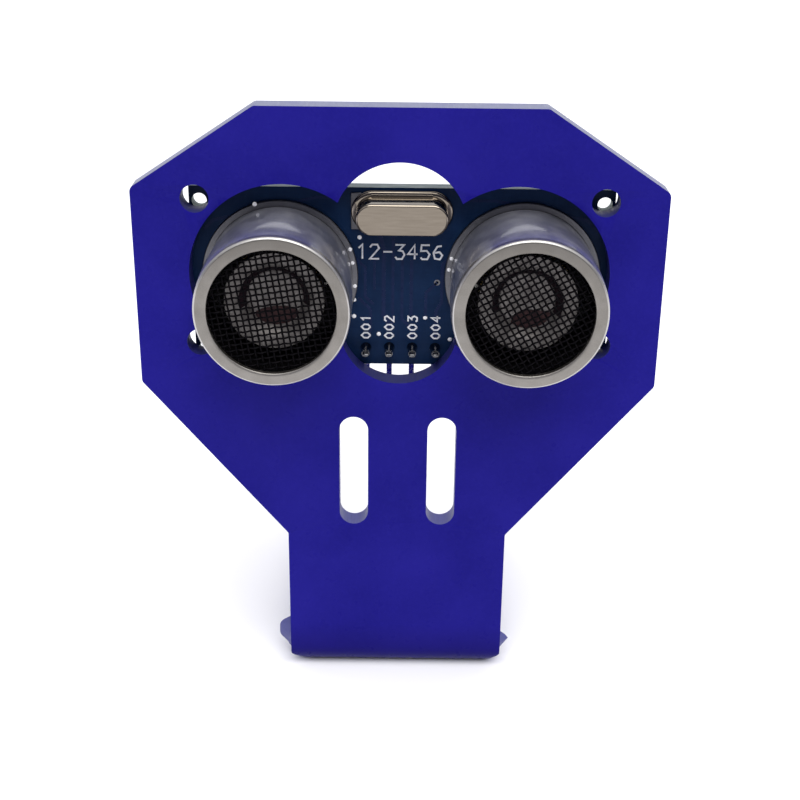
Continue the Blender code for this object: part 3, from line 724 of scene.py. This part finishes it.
BOARD_HOLE_X, BOARD_HOLE_RISE, BOARD_HOLE_RADIUS = 21.4, 8.4, 0.8
LEAD_SPACING, LEAD_RADIUS = 10.0, 0.35
CRYSTAL_LOW, CRYSTAL_HIGH = node_box("crystal_base")
CRYSTAL_Z = node_centre("crystal_base")[1]
CRYSTAL_LEAD_SPACING, CRYSTAL_LEAD_RADIUS = 4.88, 0.22
PITCH, PIN, PIN_COUNT = 2.54, 0.64, 4
HEADER_LOW, HEADER_HIGH = node_box("header_housing")
HEADER_Z = node_centre("header_housing")[1]
INK = 0.045
COPPER = 0.03
VIA_RADIUS = 0.24
CAN_FLANGE, FLANGE_DEPTH = (CAN_HIGH.x - CAN_LOW.x) / 2, 11.4


def pin_places():
    return [(i - (PIN_COUNT - 1) / 2) * PITCH for i in range(PIN_COUNT)]


def lead_places():
    """Place and radius of each lead that goes through the board: x, z, radius."""
    places = []
    for side in (LEFT, RIGHT):
        places += [(x + side * LEAD_SPACING / 2, 0.0, LEAD_RADIUS) for x in (-CAN_X, CAN_X)]
        places.append((side * CRYSTAL_LEAD_SPACING / 2, CRYSTAL_Z, CRYSTAL_LEAD_RADIUS))
    return places


FRONT_VIAS = [
    (-4.5, 4.25), (-5.5, 3.1), (-5.25, 1.6), (-5.0, -1.0), (-5.1, -2.8), (-5.1, -4.7),
    (5.35, 2.2), (5.1, 0.95), (-2.4, -6.75), (2.65, -4.8), (5.4, -7.3), (-15.5, 7.95),
]
OPEN_VIA = (3.86, -0.73)


def make_board():
    x, z = node_centre("circuit_board")
    holes = []
    for side in (LEFT, RIGHT):
        for rise in (-BOARD_HOLE_RISE, BOARD_HOLE_RISE):
            holes.append(circle((side * BOARD_HOLE_X, z + rise), BOARD_HOLE_RADIUS, 40))
    holes += [circle((u, v), radius + 0.1, 20) for u, v, radius in lead_places()]
    holes += [circle((u, HEADER_Z), PIN / math.sqrt(2) + 0.05, 20) for u in pin_places()]
    holes.append(circle(OPEN_VIA, 0.16, 14))
    outline = rectangle((x, z), BOARD_HIGH.x - BOARD_LOW.x, BOARD_HIGH.z - BOARD_LOW.z)
    bm = plate_mesh(outline, holes, BOARD_FRONT, BOARD_BACK)
    for face in bm.faces:
        face.material_index = 0 if abs(face.normal.y) > 0.5 else 1
    piece("printed_board", bm, ["mask", "board_edge"], ["circuit_board"])


def make_traces():
    """Copper tracks under the mask, on both faces."""
    front, back = bmesh.new(), bmesh.new()
    tracks = [
        ([(-2.4, 5.0), (-1.9, 2.9), (-1.9, -4.6), (-1.27, -5.4), (-1.27, -7.5)], 0.42),
        ([(-0.9, 5.0), (-0.9, 1.6), (-0.9, -6.0)], 0.3),
        ([(0.1, 2.0), (0.1, -5.0), (1.27, -6.2), (1.27, -7.5)], 0.3),
        ([(1.1, 1.8), (1.1, -4.6)], 0.36),
        ([(-5.0, 2.0), (-3.9, 0.9), (-3.9, -2.4), (-3.0, -3.3)], 0.3),
        ([(-4.6, -2.6), (-3.3, -3.9), (-3.3, -6.2), (-3.81, -7.4)], 0.3),
        ([(3.86, -0.73), (2.7, -1.9), (2.65, -5.0)], 0.3),
        ([(5.0, 1.9), (4.4, 1.3), (4.4, -3.0), (3.81, -4.0), (3.81, -7.4)], 0.34),
        ([(-3.3, 2.2), (-2.9, 1.8), (-2.9, -1.6)], 0.26),
        ([(-21.0, 5.0), (-20.0, 6.0), (-9.0, 8.6), (-6.4, 8.6)], 0.3),
        ([(21.0, 5.0), (19.6, 6.4), (10.0, 8.4), (6.4, 8.4)], 0.3),
    ]
    for points, width in tracks:
        ribbon(front, points, width, BOARD_FRONT - COPPER, BOARD_FRONT + 0.05)
    rows = [
        ([(-18.0, 0.0), (-16.6, 1.4), (-16.6, 4.4), (-16.1, 6.3)], 0.4),
        ([(-8.0, 0.0), (-9.4, 1.4), (-9.4, 5.2), (-10.3, 6.2)], 0.4),
        ([(-13.2, 6.2), (-13.2, 5.5), (-10.2, 5.1)], 0.3),
        ([(-10.5, 2.2), (-6.0, 2.2), (-4.6, 0.8), (-2.9, 0.8)], 0.25),
        ([(-10.5, 0.9), (-6.6, 0.9), (-5.2, -0.5), (-2.9, -0.5)], 0.25),
        ([(-10.5, -0.4), (-7.0, -0.4), (-5.6, -1.8), (-2.9, -1.8)], 0.25),
        ([(2.9, 0.8), (5.4, 0.8), (7.1, 2.3), (10.3, 2.3)], 0.25),
        ([(2.9, -0.5), (6.0, -0.5), (7.6, 1.0), (10.3, 1.0)], 0.25),
        ([(2.9, -1.8), (4.8, -1.8), (6.3, -3.4), (6.3, -4.2)], 0.25),
        ([(8.0, 0.0), (8.8, -0.9), (10.3, -0.9)], 0.3),
        ([(18.0, 0.0), (17.0, 1.1), (15.8, 1.1)], 0.3),
        ([(15.9, 3.6), (19.0, 3.6), (20.2, 2.4), (20.2, -4.6), (18.0, -7.1)], 0.35),
        ([(-15.9, -4.4), (-19.4, -4.4), (-20.4, -3.4), (-20.4, 4.0)], 0.35),
    ]
    twins = [
        ([(2.44, 7.07), (3.6, 5.9), (3.6, 4.2), (2.9, 2.9)], 0.3),
        ([(3.81, -8.5), (6.4, -8.5), (7.4, -7.9)], 0.45),
        ([(1.27, -8.5), (1.27, -6.6), (2.0, -5.9), (2.0, -5.3)], 0.25),
    ]
    for side in (LEFT, RIGHT):
        rows += [([(side * x, z) for x, z in points], width) for points, width in twins]
    for points, width in rows:
        ribbon(back, points, width, BOARD_BACK - 0.05, BOARD_BACK + COPPER)
    piece("front_tracks", front, ["copper"])
    piece("back_tracks", back, ["copper"])


def make_vias():
    """Solder-filled vias on both faces and one open via."""
    bm = bmesh.new()
    dome = [(0, 0.04), (VIA_RADIUS, 0.04), (VIA_RADIUS * 0.96, -0.01)]
    dome += [(VIA_RADIUS * 0.6, -0.06), (0, -0.08)]
    for x, z in FRONT_VIAS:
        on_flange = math.hypot(abs(x) - CAN_X, z) < CAN_FLANGE
        lathe(bm, dome, x, z, CAN_FRONT + FLANGE_DEPTH if on_flange else BOARD_FRONT, 16)
    back_dome = [(radius, -depth) for radius, depth in dome]
    more = [(-6.2, 4.4), (6.4, 4.6), (-18.6, -6.2), (18.9, 5.4), (-7.0, -5.6), (16.9, -4.8), (8.8, -5.2)]
    for x, z in FRONT_VIAS[:7] + more:
        lathe(bm, back_dome, x, z, BOARD_BACK, 16)
    ring = [(0.17, 0.03), (0.33, 0.03), (0.33, -0.03), (0.17, -0.03)]
    lathe(bm, ring, *OPEN_VIA, BOARD_FRONT, 20, [1] * 4)
    piece("filled_vias", bm, ["via", "flange"])


GLYPHS = {
    "0": [[(0.3, 0), (0, 0.3), (0, 0.7), (0.3, 1), (0.6, 0.7), (0.6, 0.3), (0.3, 0)]],
    "1": [[(0.1, 0.75), (0.35, 1), (0.35, 0)]],
    "2": [[(0, 0.8), (0.15, 1), (0.5, 1), (0.62, 0.75), (0, 0), (0.62, 0)]],
    "3": [[(0, 1), (0.6, 1), (0.25, 0.6), (0.5, 0.55), (0.62, 0.3), (0.45, 0), (0.1, 0), (0, 0.15)]],
    "4": [[(0.45, 0), (0.45, 1), (0, 0.35), (0.65, 0.35)]],
    "5": [[(0.6, 1), (0.05, 1), (0.02, 0.58), (0.4, 0.6), (0.6, 0.35), (0.45, 0), (0.1, 0), (0, 0.12)]],
    "6": [
        [(0.55, 0.95), (0.25, 0.9), (0, 0.45), (0.1, 0.05), (0.45, 0), (0.6, 0.28), (0.42, 0.52), (0.05, 0.45)]
    ],
    "7": [[(0, 1), (0.62, 1), (0.22, 0)]],
    "-": [[(0.05, 0.5), (0.65, 0.5)]],
}
GLYPH_STEP = 0.88
BACK_INK = (BOARD_BACK - 0.01, BOARD_BACK + INK)


def write(bm, text, start, height, width, along=(1, 0), back=False, step=GLYPH_STEP):
    """Add the strokes of a number to bm. along is the writing direction (x, z) on the face."""
    front, rear = BACK_INK if back else (BOARD_FRONT - INK, BOARD_FRONT + 0.01)
    flip = -1 if back else 1
    up = (-along[1] * flip, along[0] * flip)
    for i, sign in enumerate(text):
        for stroke in GLYPHS[sign]:
            points = []
            for u, v in stroke:
                u = (u + i * step) * height
                v = v * height
                points.append((start[0] + along[0] * u + up[0] * v, start[1] + along[1] * u + up[1] * v))
            ribbon(bm, points, width, front, rear)


def frame_lines(bm, centre, width, height):
    """Add a thin box outline, printed on the board's back, to bm."""
    corners = rectangle(centre, width, height)
    for first, second in zip(corners, corners[1:] + corners[:1]):
        ribbon(bm, [first, second], 0.13, *BACK_INK)


def make_print():
    """White printing: generic digits and outlines only."""
    front, back = bmesh.new(), bmesh.new()
    write(front, "12-3456", (-4.75, 1.9), 1.58, 0.185, step=0.86)
    for number, x in enumerate(pin_places(), start=1):
        write(front, f"00{number}", (x + 0.5, -7.2), 0.98, 0.165, along=(0, 1), step=1.0)
        write(back, str(number), (x + 0.35, -6.75), 1.0, 0.14, along=(-1, 0), back=True)
    for x, z, w, h in ((-CAN_X, -0.3, 7.2, 11.0), (0.0, -0.9, 7.2, 9.7), (CAN_X, -0.3, 7.2, 9.7)):
        frame_lines(back, (x, z), w, h)
    for number, x in enumerate((-CAN_X + 3.9, 3.9, CAN_X + 3.9), start=1):
        write(back, f"{number}", (x + 0.7, 4.0), 0.9, 0.13, along=(-1, 0), back=True)
    for side in (LEFT, RIGHT):
        for i in range(4):
            frame_lines(back, (side * (7.4 + 2.9 * i), 7.3), 1.9, 2.9)
        for i in range(3):
            frame_lines(back, (side * (9.6 + 3.6 * i), -7.9), 2.9, 1.9)
    piece("front_printing", front, ["ink"])
    piece("back_printing", back, ["ink"])


# ---------------------------------------------------------------- transducers

CAN_RADIUS = 8.0
CAN_LENGTH = CAN_BACK - CAN_FRONT
CAN_MOUTH = 6.54
CAN_INNER = 7.55
RIM_ROUND = 0.34


def can_profile():
    """Shell profile with the rim first: rolled edge, side with a soft shoulder, base flange, lining."""
    edge = arc((7.93 - RIM_ROUND, RIM_ROUND), RIM_ROUND, -90, 0, 8)
    rim = [(CAN_MOUTH, 0.2), (CAN_MOUTH + 0.04, 0.08), (CAN_MOUTH + 0.14, 0.01), (CAN_MOUTH + 0.4, 0.0)]
    side = [(7.96, 0.8), (7.985, 1.5), (CAN_RADIUS, 2.4), (7.99, 3.6)]
    side += [(7.96, 5.2), (7.88, 7.5), (7.76, 10.2), (7.72, 10.9)]
    foot = [(7.71, 11.2), (7.75, 11.36), (CAN_FLANGE - 0.07, FLANGE_DEPTH)]
    foot += [(CAN_FLANGE, FLANGE_DEPTH + 0.07), (CAN_FLANGE, CAN_LENGTH)]
    lining = [(7.6, CAN_LENGTH), (7.6, 9.4), (CAN_INNER, 9.0), (CAN_INNER, 0.7), (CAN_MOUTH, 0.55)]
    profile = rim + edge + side + foot + lining
    # slot 4, on the rolled edge, takes the painted highlight
    slots = [0] * (len(rim) + 2) + [4] * (len(edge) - 2) + [1] * len(side)
    slots += [3] * (len(foot) - 1) + [2] * 5 + [0]
    return profile, slots


def make_can(name, x):
    profile, slots = can_profile()
    bm = bmesh.new()
    lathe(bm, profile, x, 0, CAN_FRONT, 144, slots)
    looks = ["rim", "side", "lining", "flange", "rim_edge_highlight"]
    piece(f"{name}_shell", bm, looks, [f"{name}_can"])


SCREEN_PITCH, WIRE = 0.62, 0.102
SCREEN_DEPTH = 0.85
SCREEN_TURN = {"transmitter": 9.0, "receiver": 30.0}


def make_screen(name, x):
    """A plain weave: every wire goes over and under the wires that cross it."""
    bm = bmesh.new()
    turn = math.radians(SCREEN_TURN[name])
    limit = CAN_INNER - 0.1
    count = int(limit / SCREEN_PITCH)
    for direction in (0, 1):
        for row in range(-count, count + 1):
            offset = row * SCREEN_PITCH
            reach = math.sqrt(limit**2 - offset**2)
            steps = max(4, int(reach * 2 / SCREEN_PITCH * 4))
            loops = []
            for i in range(steps + 1):
                along = -reach + 2 * reach * i / steps
                wave = math.cos(math.pi * along / SCREEN_PITCH) * (1 if (row + direction) % 2 else -1)
                depth = CAN_FRONT + SCREEN_DEPTH + wave * WIRE
                u, v = (along, offset) if direction == 0 else (offset, along)
                cu = u * math.cos(turn) - v * math.sin(turn)
                cv = u * math.sin(turn) + v * math.cos(turn)
                way = turn + math.pi / 2 * (1 - direction)
                side = (math.cos(way), math.sin(way))
                ring = []
                for across, out in ((WIRE, 0), (0, WIRE), (-WIRE, 0), (0, -WIRE)):
                    ring.append((x + cu + side[0] * across, depth + out, cv + side[1] * across))
                loops.append(ring)
            loft(bm, loops)
    piece(f"{name}_woven_screen", bm, ["wire"], [f"{name}_screen"], smooth=100)


CONE_FRONT = node_box("transmitter_cone")[0].y
GLUE_PLACES = {"transmitter": (0.2, -2.0), "receiver": (0.6, -2.1)}


def make_cone(name, x):
    """The resonator cone: a flat outer ring round a shallow cup, with glue at its centre."""
    bm = bmesh.new()
    profile = [
        (5.2, 0.12), (5.12, 0.0), (4.2, 0.0), (4.02, 0.05), (3.65, 0.2), (2.95, 1.2), (2.8, 1.32),
        (1.2, 1.37), (0, 1.38), (0, 1.58), (2.85, 1.54), (3.15, 1.44), (3.85, 0.45), (5.1, 0.3), (5.2, 0.22),
    ]
    lathe(bm, profile, x, 0, CONE_FRONT, 72)
    for face in bm.faces:
        place = face.calc_center_median()
        on_wall = 0.25 < place.y - CONE_FRONT < 1.15 and 2.95 < math.hypot(place.x - x, place.z) < 3.65
        # the upper part of the cup wall takes a near-black look: painted shade under the upper lip
        face.material_index = int(on_wall and place.z > -1.0 + 0.4 * math.sin(5 * place.x))
    piece(f"{name}_resonator", bm, ["cone", "cone_wall_shade"], [f"{name}_cone"])
    bm = bmesh.new()
    source = random.Random(name)
    loops = []
    wobble = [1 + 0.16 * source.uniform(-1, 1) for _ in range(9)]
    glue_x, glue_z = GLUE_PLACES[name]
    for radius, depth in ((1.0, 1.36), (1.0, 1.22), (0.86, 1.1), (0.6, 1.02), (0.3, 0.98), (0.05, 0.96)):
        ring = []
        for i in range(36):
            angle = math.tau * i / 36
            k = i / 36 * 9
            low = wobble[int(k) % 9]
            mix = low + (wobble[(int(k) + 1) % 9] - low) * (k - int(k))
            u, v = 2.1 * radius * mix * math.cos(angle), 1.05 * radius * mix * math.sin(angle)
            ring.append((x + glue_x + u, CONE_FRONT + depth, glue_z + v))
        loops.append(ring)
    loft(bm, loops)
    piece(f"{name}_glue", bm, ["glue"])


# ---------------------------------------------------------------- crystal


def obround_loops(width, height, centre, steps, count=28):
    """Obround rings for each (inset, depth in front of the board)."""
    loops = []
    for inset, depth in steps:
        ring = obround(centre, width - 2 * inset, height - 2 * inset, count)
        loops.append([(x, BOARD_FRONT - depth, z) for x, z in ring])
    return loops


def make_crystal():
    low, high = node_box("crystal_can")
    width, height = high.x - low.x, high.z - low.z
    top = BOARD_FRONT - low.y
    centre = node_centre("crystal_can")
    bm = bmesh.new()
    roll = 0.26
    steps = [(0.0, 0.58), (0.0, 0.72), (0.04, 1.2), (0.06, top - roll - 0.3)]
    steps += [(x + 0.06, d) for x, d in arc((roll, top - roll), roll, 180, 90, 9)]
    steps += [(roll + 0.2, top - 0.002), (roll + 0.5, top - 0.006)]
    loft(bm, obround_loops(width, height, centre, steps))
    piece("crystal_cap", bm, ["crystal"], ["crystal_can"], weighted=True)

    bm = bmesh.new()
    flange_width, flange_height = CRYSTAL_HIGH.x - CRYSTAL_LOW.x, CRYSTAL_HIGH.z - CRYSTAL_LOW.z
    steps = [(0.3, 0.06), (0.12, 0.1), (0.0, 0.2), (0.0, 0.36), (0.06, 0.46), (0.2, 0.54), (0.6, 0.56)]
    loft(bm, obround_loops(flange_width, flange_height, centre, steps))
    tab = CRYSTAL_LOW.x + 0.55
    box(bm, (tab, BOARD_FRONT - 0.18, centre[1]), (1.1, 0.2, flange_height - 0.5), 0.05, 1)
    piece("crystal_flange", bm, ["crystal", "flange"], ["crystal_base"], weighted=True)


# ---------------------------------------------------------------- solder, pins and header

SOLDER_RADIUS, SOLDER_HEIGHT = 0.6, 1.0


def joint_profile(hole, radius, height):
    """Concave fillet of solder that climbs a lead."""
    inner = hole + 0.02
    outer = [(inner, 0.0), (radius * 0.9, 0.0), (radius, 0.05)]
    for step in range(1, 10):
        share = step / 9
        reach = (radius - inner - 0.06) * (1 - share) ** 2.1
        outer.append((inner + 0.06 + reach, 0.05 + (height - 0.05) * share))
    return outer + [(inner, height)]


def make_joint(name, x, z, hole, back, radius=SOLDER_RADIUS, height=SOLDER_HEIGHT, look="solder"):
    surface, way = (BOARD_BACK, 1) if back else (BOARD_FRONT, -1)
    bm = bmesh.new()
    lathe(bm, [(r, way * d) for r, d in joint_profile(hole, radius, height)], x, z, surface, 28)
    source = random.Random(name)
    tilt, lean = source.uniform(0, math.tau), source.uniform(0.02, 0.07)
    for vert in bm.verts:
        rise = abs(vert.co.y - surface) / height
        away = math.atan2(vert.co.z - z, vert.co.x - x)
        swell = 1 + lean * math.cos(away - tilt) * (1 - rise)
        vert.co.x = x + (vert.co.x - x) * swell
        vert.co.z = z + (vert.co.z - z) * swell
    piece(f"{name}_fillet", bm, [look], [name])


def make_joints():
    for name, x in TRANSDUCERS.items():
        for number, side in enumerate((LEFT, RIGHT), start=1):
            make_joint(f"{name}_solder_{number}", x + side * LEAD_SPACING / 2, 0, LEAD_RADIUS, True, 0.95)
    for number, side in enumerate((LEFT, RIGHT), start=1):
        x = side * CRYSTAL_LEAD_SPACING / 2
        make_joint(f"crystal_solder_{number}", x, CRYSTAL_Z, CRYSTAL_LEAD_RADIUS, True, 0.7)
    # the header's front joints use the solder painted dark: a painted dark reflection
    for number, x in enumerate(pin_places(), start=1):
        make_joint(f"header_solder_{number}", x, HEADER_Z, PIN * 0.52, False, height=1.9, look="flux_solder")


def pin_outline(tip, bend_y):
    half, taper, bend = PIN / 2, 0.2, 0.9
    outer = arc((bend_y - bend, HEADER_Z - bend), bend + half, 90, 0, 12)
    inner = arc((bend_y - bend, HEADER_Z - bend), bend - half, 0, 90, 12)
    end = PIN_LOW
    return [
        (tip, HEADER_Z - half + taper),
        (tip, HEADER_Z + half - taper),
        (tip + 0.45, HEADER_Z + half),
        *outer,
        (bend_y + half, end + 0.6),
        (bend_y + half - taper, end),
        (bend_y - half + taper, end),
        (bend_y - half, end + 0.6),
        *inner,
        (tip + 0.45, HEADER_Z - half),
    ]


PIN_BOX = node_box("header_pin_1")
PIN_LOW = PIN_BOX[0].z


def make_header():
    bend_y = PIN_BOX[1].y - PIN / 2
    outline = pin_outline(PIN_BOX[0].y, bend_y)
    for number, x in enumerate(pin_places(), start=1):
        bm = sheet_mesh(outline, [], lambda u, v, t, x=x: (x - PIN / 2 + PIN * t, u, v))
        soften(bm, 0.07, 2, lambda edge: is_sharp(edge, 50))
        for face in bm.faces:
            # the pin's front end takes the solder painted dark: a painted dark reflection
            face.material_index = int(face.calc_center_median().y < PIN_BOX[0].y + 0.4)
        node = f"header_pin_{number}"
        piece(f"pin_{number}", bm, ["tin", "flux_solder"], [node], weighted=True)

    half, notch = PITCH / 2, 0.42
    low, high = [], []
    for x in pin_places():
        low += [(x - half, HEADER_Z - half + notch), (x - half + notch, HEADER_Z - half)]
        low.append((x + half - notch, HEADER_Z - half))
        high += [(x - half + notch, HEADER_Z + half), (x + half - notch, HEADER_Z + half)]
        high.append((x + half, HEADER_Z + half - notch))
    right = (pin_places()[-1] + half, HEADER_Z - half + notch)
    left = (pin_places()[0] - half, HEADER_Z + half - notch)
    holes = [rectangle((x, HEADER_Z), PIN + 0.08, PIN + 0.08) for x in pin_places()]
    bm = plate_mesh([*low, right, *reversed(high), left], holes, HEADER_LOW.y, HEADER_HIGH.y)
    rear = HEADER_HIGH.y - 0.01
    soften(bm, 0.07, 2, lambda edge: is_sharp(edge, 35) and edge.verts[0].co.y > rear)
    piece("header_strip", bm, ["nylon"], ["header_housing"], weighted=True)


# ---------------------------------------------------------------- parts on the back of the board

SEAT = BOARD_BACK + 0.05


def leg(bm, edge_x, z, side, width):
    """Add one gull-wing leg: out of the package, down to its pad and out along it."""
    middle_line = [(-0.2, 0.85), (0.16, 0.85), (0.27, 0.8), (0.33, 0.7)]
    middle_line += [(0.40, 0.28), (0.47, 0.16), (0.58, 0.11), (1.0, 0.1)]
    loops = []
    for i, (u, d) in enumerate(middle_line):
        before = Vector(middle_line[max(0, i - 1)])
        after = Vector(middle_line[min(len(middle_line) - 1, i + 1)])
        way = (after - before).normalized()
        normal = Vector((-way.y, way.x)) * 0.09
        ring = []
        for across, out in ((-1, -1), (1, -1), (1, 1), (-1, 1)):
            place = Vector((u, d)) + normal * out
            ring.append((edge_x + side * place.x, SEAT + place.y, z + across * width / 2))
        loops.append(ring)
    loft(bm, loops, [1] * len(loops))


def make_chip(node, size, legs, pitch, dot):
    """A gull-wing package with its legs, its pads and the dot that marks leg 1."""
    x, z = node_centre(node)
    bm = bmesh.new()
    loops = []
    depth = 1.4
    steps = [(0.14, 0.2), (0.0, 0.85), (0.02, 0.9)]
    steps += [(0.12, depth + 0.12), (0.16, depth + 0.18), (0.24, depth + 0.2)]
    for inset, d in steps:
        corners = rectangle((x, z), size[0] - 2 * inset, size[1] - 2 * inset)
        ring = rounded([(a, b, 0.12) for a, b in corners], 3)
        loops.append([(a, BOARD_BACK + d, b) for a, b in ring])
    loft(bm, loops)
    pads = bmesh.new()
    for side, count in zip((LEFT, RIGHT), legs):
        for i in range(count):
            leg_z = z + (i - (count - 1) / 2) * pitch
            edge_x = x + side * size[0] / 2
            leg(bm, edge_x, leg_z, side, 0.42)
            box(pads, (edge_x + side * 0.8, BOARD_BACK + 0.015, leg_z), (1.0, 0.05, 0.6), 0.01)
            box(pads, (edge_x + side * 0.98, BOARD_BACK + 0.03, leg_z), (0.34, 0.12, 0.5), 0.05)
    if dot:
        mark = [(0, 0.0), (0.34, 0.0), (0.34, 0.022), (0.0, 0.022)]
        corner = (x + size[0] / 2 - 0.75, z + size[1] / 2 - 0.75)
        lathe(bm, mark, *corner, BOARD_BACK + depth + 0.185, 24, [2] * 4)
    piece(f"{node}_package", bm, ["package", "tin", "resin"], [node], weighted=True)
    piece(f"{node}_pads", pads, ["solder"], weighted=True)


def make_chips():
    chips = [
        ("driver_chip", (3.9, 9.9), (8, 8), 1.27, True),
        ("controller_chip", (3.9, 8.65), (7, 7), 1.27, True),
        ("amplifier_chip", (3.9, 8.65), (7, 7), 1.27, True),
        ("switch_transistor", (1.3, 2.9), (2, 1), 1.9, False),
    ]
    for node, size, legs, pitch, dot in chips:
        make_chip(node, size, legs, pitch, dot)


def make_passive(node, upright, body_look, top_look):
    """A two-ended chip component: ceramic body, plated ends and solder fillets on its pads."""
    low, high = node_box(node)
    centre = (low + high) / 2
    size = high - low
    length, width = (size.z, size.x) if upright else (size.x, size.z)
    cap = 0.36

    def span(u, v, w):
        return (w, v, u) if upright else (u, v, w)

    def add(bm, along, depth, dims, chamfer, slot):
        place = span(along, 0, 0)
        box(bm, (centre.x + place[0], depth, centre.z + place[2]), span(*dims), chamfer, slot)

    bm = bmesh.new()
    add(bm, 0, centre.y, (length - 2 * cap + 0.1, size.y - 0.04, width - 0.04), 0.03, 0)
    if top_look:
        add(bm, 0, high.y - 0.02, (length - 2 * cap + 0.02, 0.06, width - 0.12), 0.01, 2)
    for side in (LEFT, RIGHT):
        add(bm, side * (length - cap) / 2, centre.y, (cap, size.y, width), 0.06, 1)
    piece(f"{node}_body", bm, [body_look, "tin", top_look or body_look], [node])
    pads = bmesh.new()
    for side in (LEFT, RIGHT):
        end = side * (length / 2 + 0.16)
        loops = []
        for out, depth in ((0.36, 0.0), (0.34, 0.05), (0.22, 0.12), (0.14, 0.28), (0.1, min(size.y, 0.5))):
            near, far, half = -0.32, out, (width + 0.1) / 2 - out * 0.1
            ring = [(near, -half), (far, -half), (far, half), (near, half)]
            row = []
            for u, w in ring:
                place = span(end + side * u * 0.9 - side * 0.12, 0, w)
                row.append((centre.x + place[0], BOARD_BACK + depth, centre.z + place[2]))
            loops.append(row)
        loft(pads, loops)
    piece(f"{node}_pads", pads, ["solder"], weighted=True)


def make_passives():
    for number in range(1, 9):
        make_passive(f"resistor_{number}", True, "alumina", "film")
    for number in range(1, 7):
        make_passive(f"capacitor_{number}", False, "tan", None)


# ---------------------------------------------------------------- CAD nodes that stay as they are


def dress_nodes():
    looks = {"diaphragm": "brass", "piezo_disc": "ceramic"}
    looks |= {"cushion_ring": "silicone", "terminal_base": "resin"}
    for name in TRANSDUCERS:
        for part, look in looks.items():
            dress(f"{name}_{part}", look)
        for number in (1, 2):
            dress(f"{name}_lead_{number}", "tin")
    for number in (1, 2):
        dress(f"crystal_lead_{number}", "tin")


def dress(node, look):
    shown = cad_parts[node]
    shown.data.materials.clear()
    shown.data.materials.append(LOOKS[look])


# ---------------------------------------------------------------- floor, light and camera


def make_stage():
    bm = bmesh.new()
    loft(bm, [[(x, y, z) for x, y in ((-6, -6), (6, -6), (6, 6), (-6, 6))] for z in (-0.02, 0.0)])
    bmesh.ops.recalc_face_normals(bm, faces=bm.faces)
    mesh = bpy.data.meshes.new("floor")
    bm.to_mesh(mesh)
    bm.free()
    mesh.materials.append(floor_paper())
    floor = bpy.data.objects.new("floor", mesh)
    bpy.context.collection.objects.link(floor)


def make_world():
    """A soft dome: pale all round behind the object, dim and bluish in front of it, bright overhead."""
    world = bpy.data.worlds.new("studio")
    bpy.context.scene.world = world
    world.use_nodes = True
    nodes, link = world.node_tree.nodes, world.node_tree.links.new
    parts = nodes.new("ShaderNodeSeparateXYZ")
    link(nodes.new("ShaderNodeTexCoord").outputs["Generated"], parts.inputs["Vector"])
    ramp = nodes.new("ShaderNodeValToRGB")
    link(parts.outputs["Z"], ramp.inputs["Fac"])
    stops = [(0.0, (0.10, 0.10, 0.13)), (0.28, (0.14, 0.145, 0.19))]
    stops += [(0.36, (0.5, 0.5, 0.56)), (0.75, (1.05, 1.05, 1.1))]
    elements = ramp.color_ramp.elements
    while len(elements) < len(stops):
        elements.new(0.5)
    for element, (place, color) in zip(elements, stops):
        element.position = place
        element.color = (*color, 1.0)
    behind = nodes.new("ShaderNodeMapRange")
    link(parts.outputs["Y"], behind.inputs["Value"])
    behind.inputs["From Min"].default_value = 0.1
    behind.inputs["From Max"].default_value = 0.6
    seen = nodes.new("ShaderNodeMath")
    seen.operation = "MAXIMUM"
    link(behind.outputs["Result"], seen.inputs[0])
    link(nodes.new("ShaderNodeLightPath").outputs["Is Camera Ray"], seen.inputs[1])
    pick = nodes.new("ShaderNodeMix")
    pick.data_type = "RGBA"
    link(seen.outputs[0], pick.inputs[0])
    link(ramp.outputs["Color"], pick.inputs[6])
    pick.inputs[7].default_value = (0.93, 0.93, 0.95, 1.0)
    link(pick.outputs[2], nodes["Background"].inputs["Color"])


def make_lamps():
    key = bpy.data.lights.new("key", "SUN")
    key.energy = 2.6
    key.angle = math.radians(50)
    key.color = (1.0, 0.99, 0.97)
    lamp = bpy.data.objects.new("key", key)
    lamp.rotation_euler = (math.radians(28), math.radians(6), 0)
    bpy.context.collection.objects.link(lamp)


def make_camera():
    data = bpy.data.cameras.new("camera")
    data.lens = 64.32
    data.sensor_width = 36.0
    data.shift_x = -0.0029
    data.shift_y = 0.0007
    data.clip_start = 0.005
    data.clip_end = 20.0
    camera = bpy.data.objects.new("camera", data)
    camera.location = Vector((-0.03, -159.54, 98.78)) * MM
    camera.rotation_euler = [math.radians(angle) for angle in (66.022, -0.652, 0.094)]
    bpy.context.collection.objects.link(camera)
    bpy.context.scene.camera = camera
    bpy.context.scene.view_settings.view_transform = "Standard"


make_bracket()
make_board()
make_traces()
make_vias()
make_print()
for transducer, place in TRANSDUCERS.items():
    make_can(transducer, place)
    make_screen(transducer, place)
    make_cone(transducer, place)
make_crystal()
make_joints()
make_header()
make_chips()
make_passives()
dress_nodes()
make_stage()
make_world()
make_lamps()
make_camera()
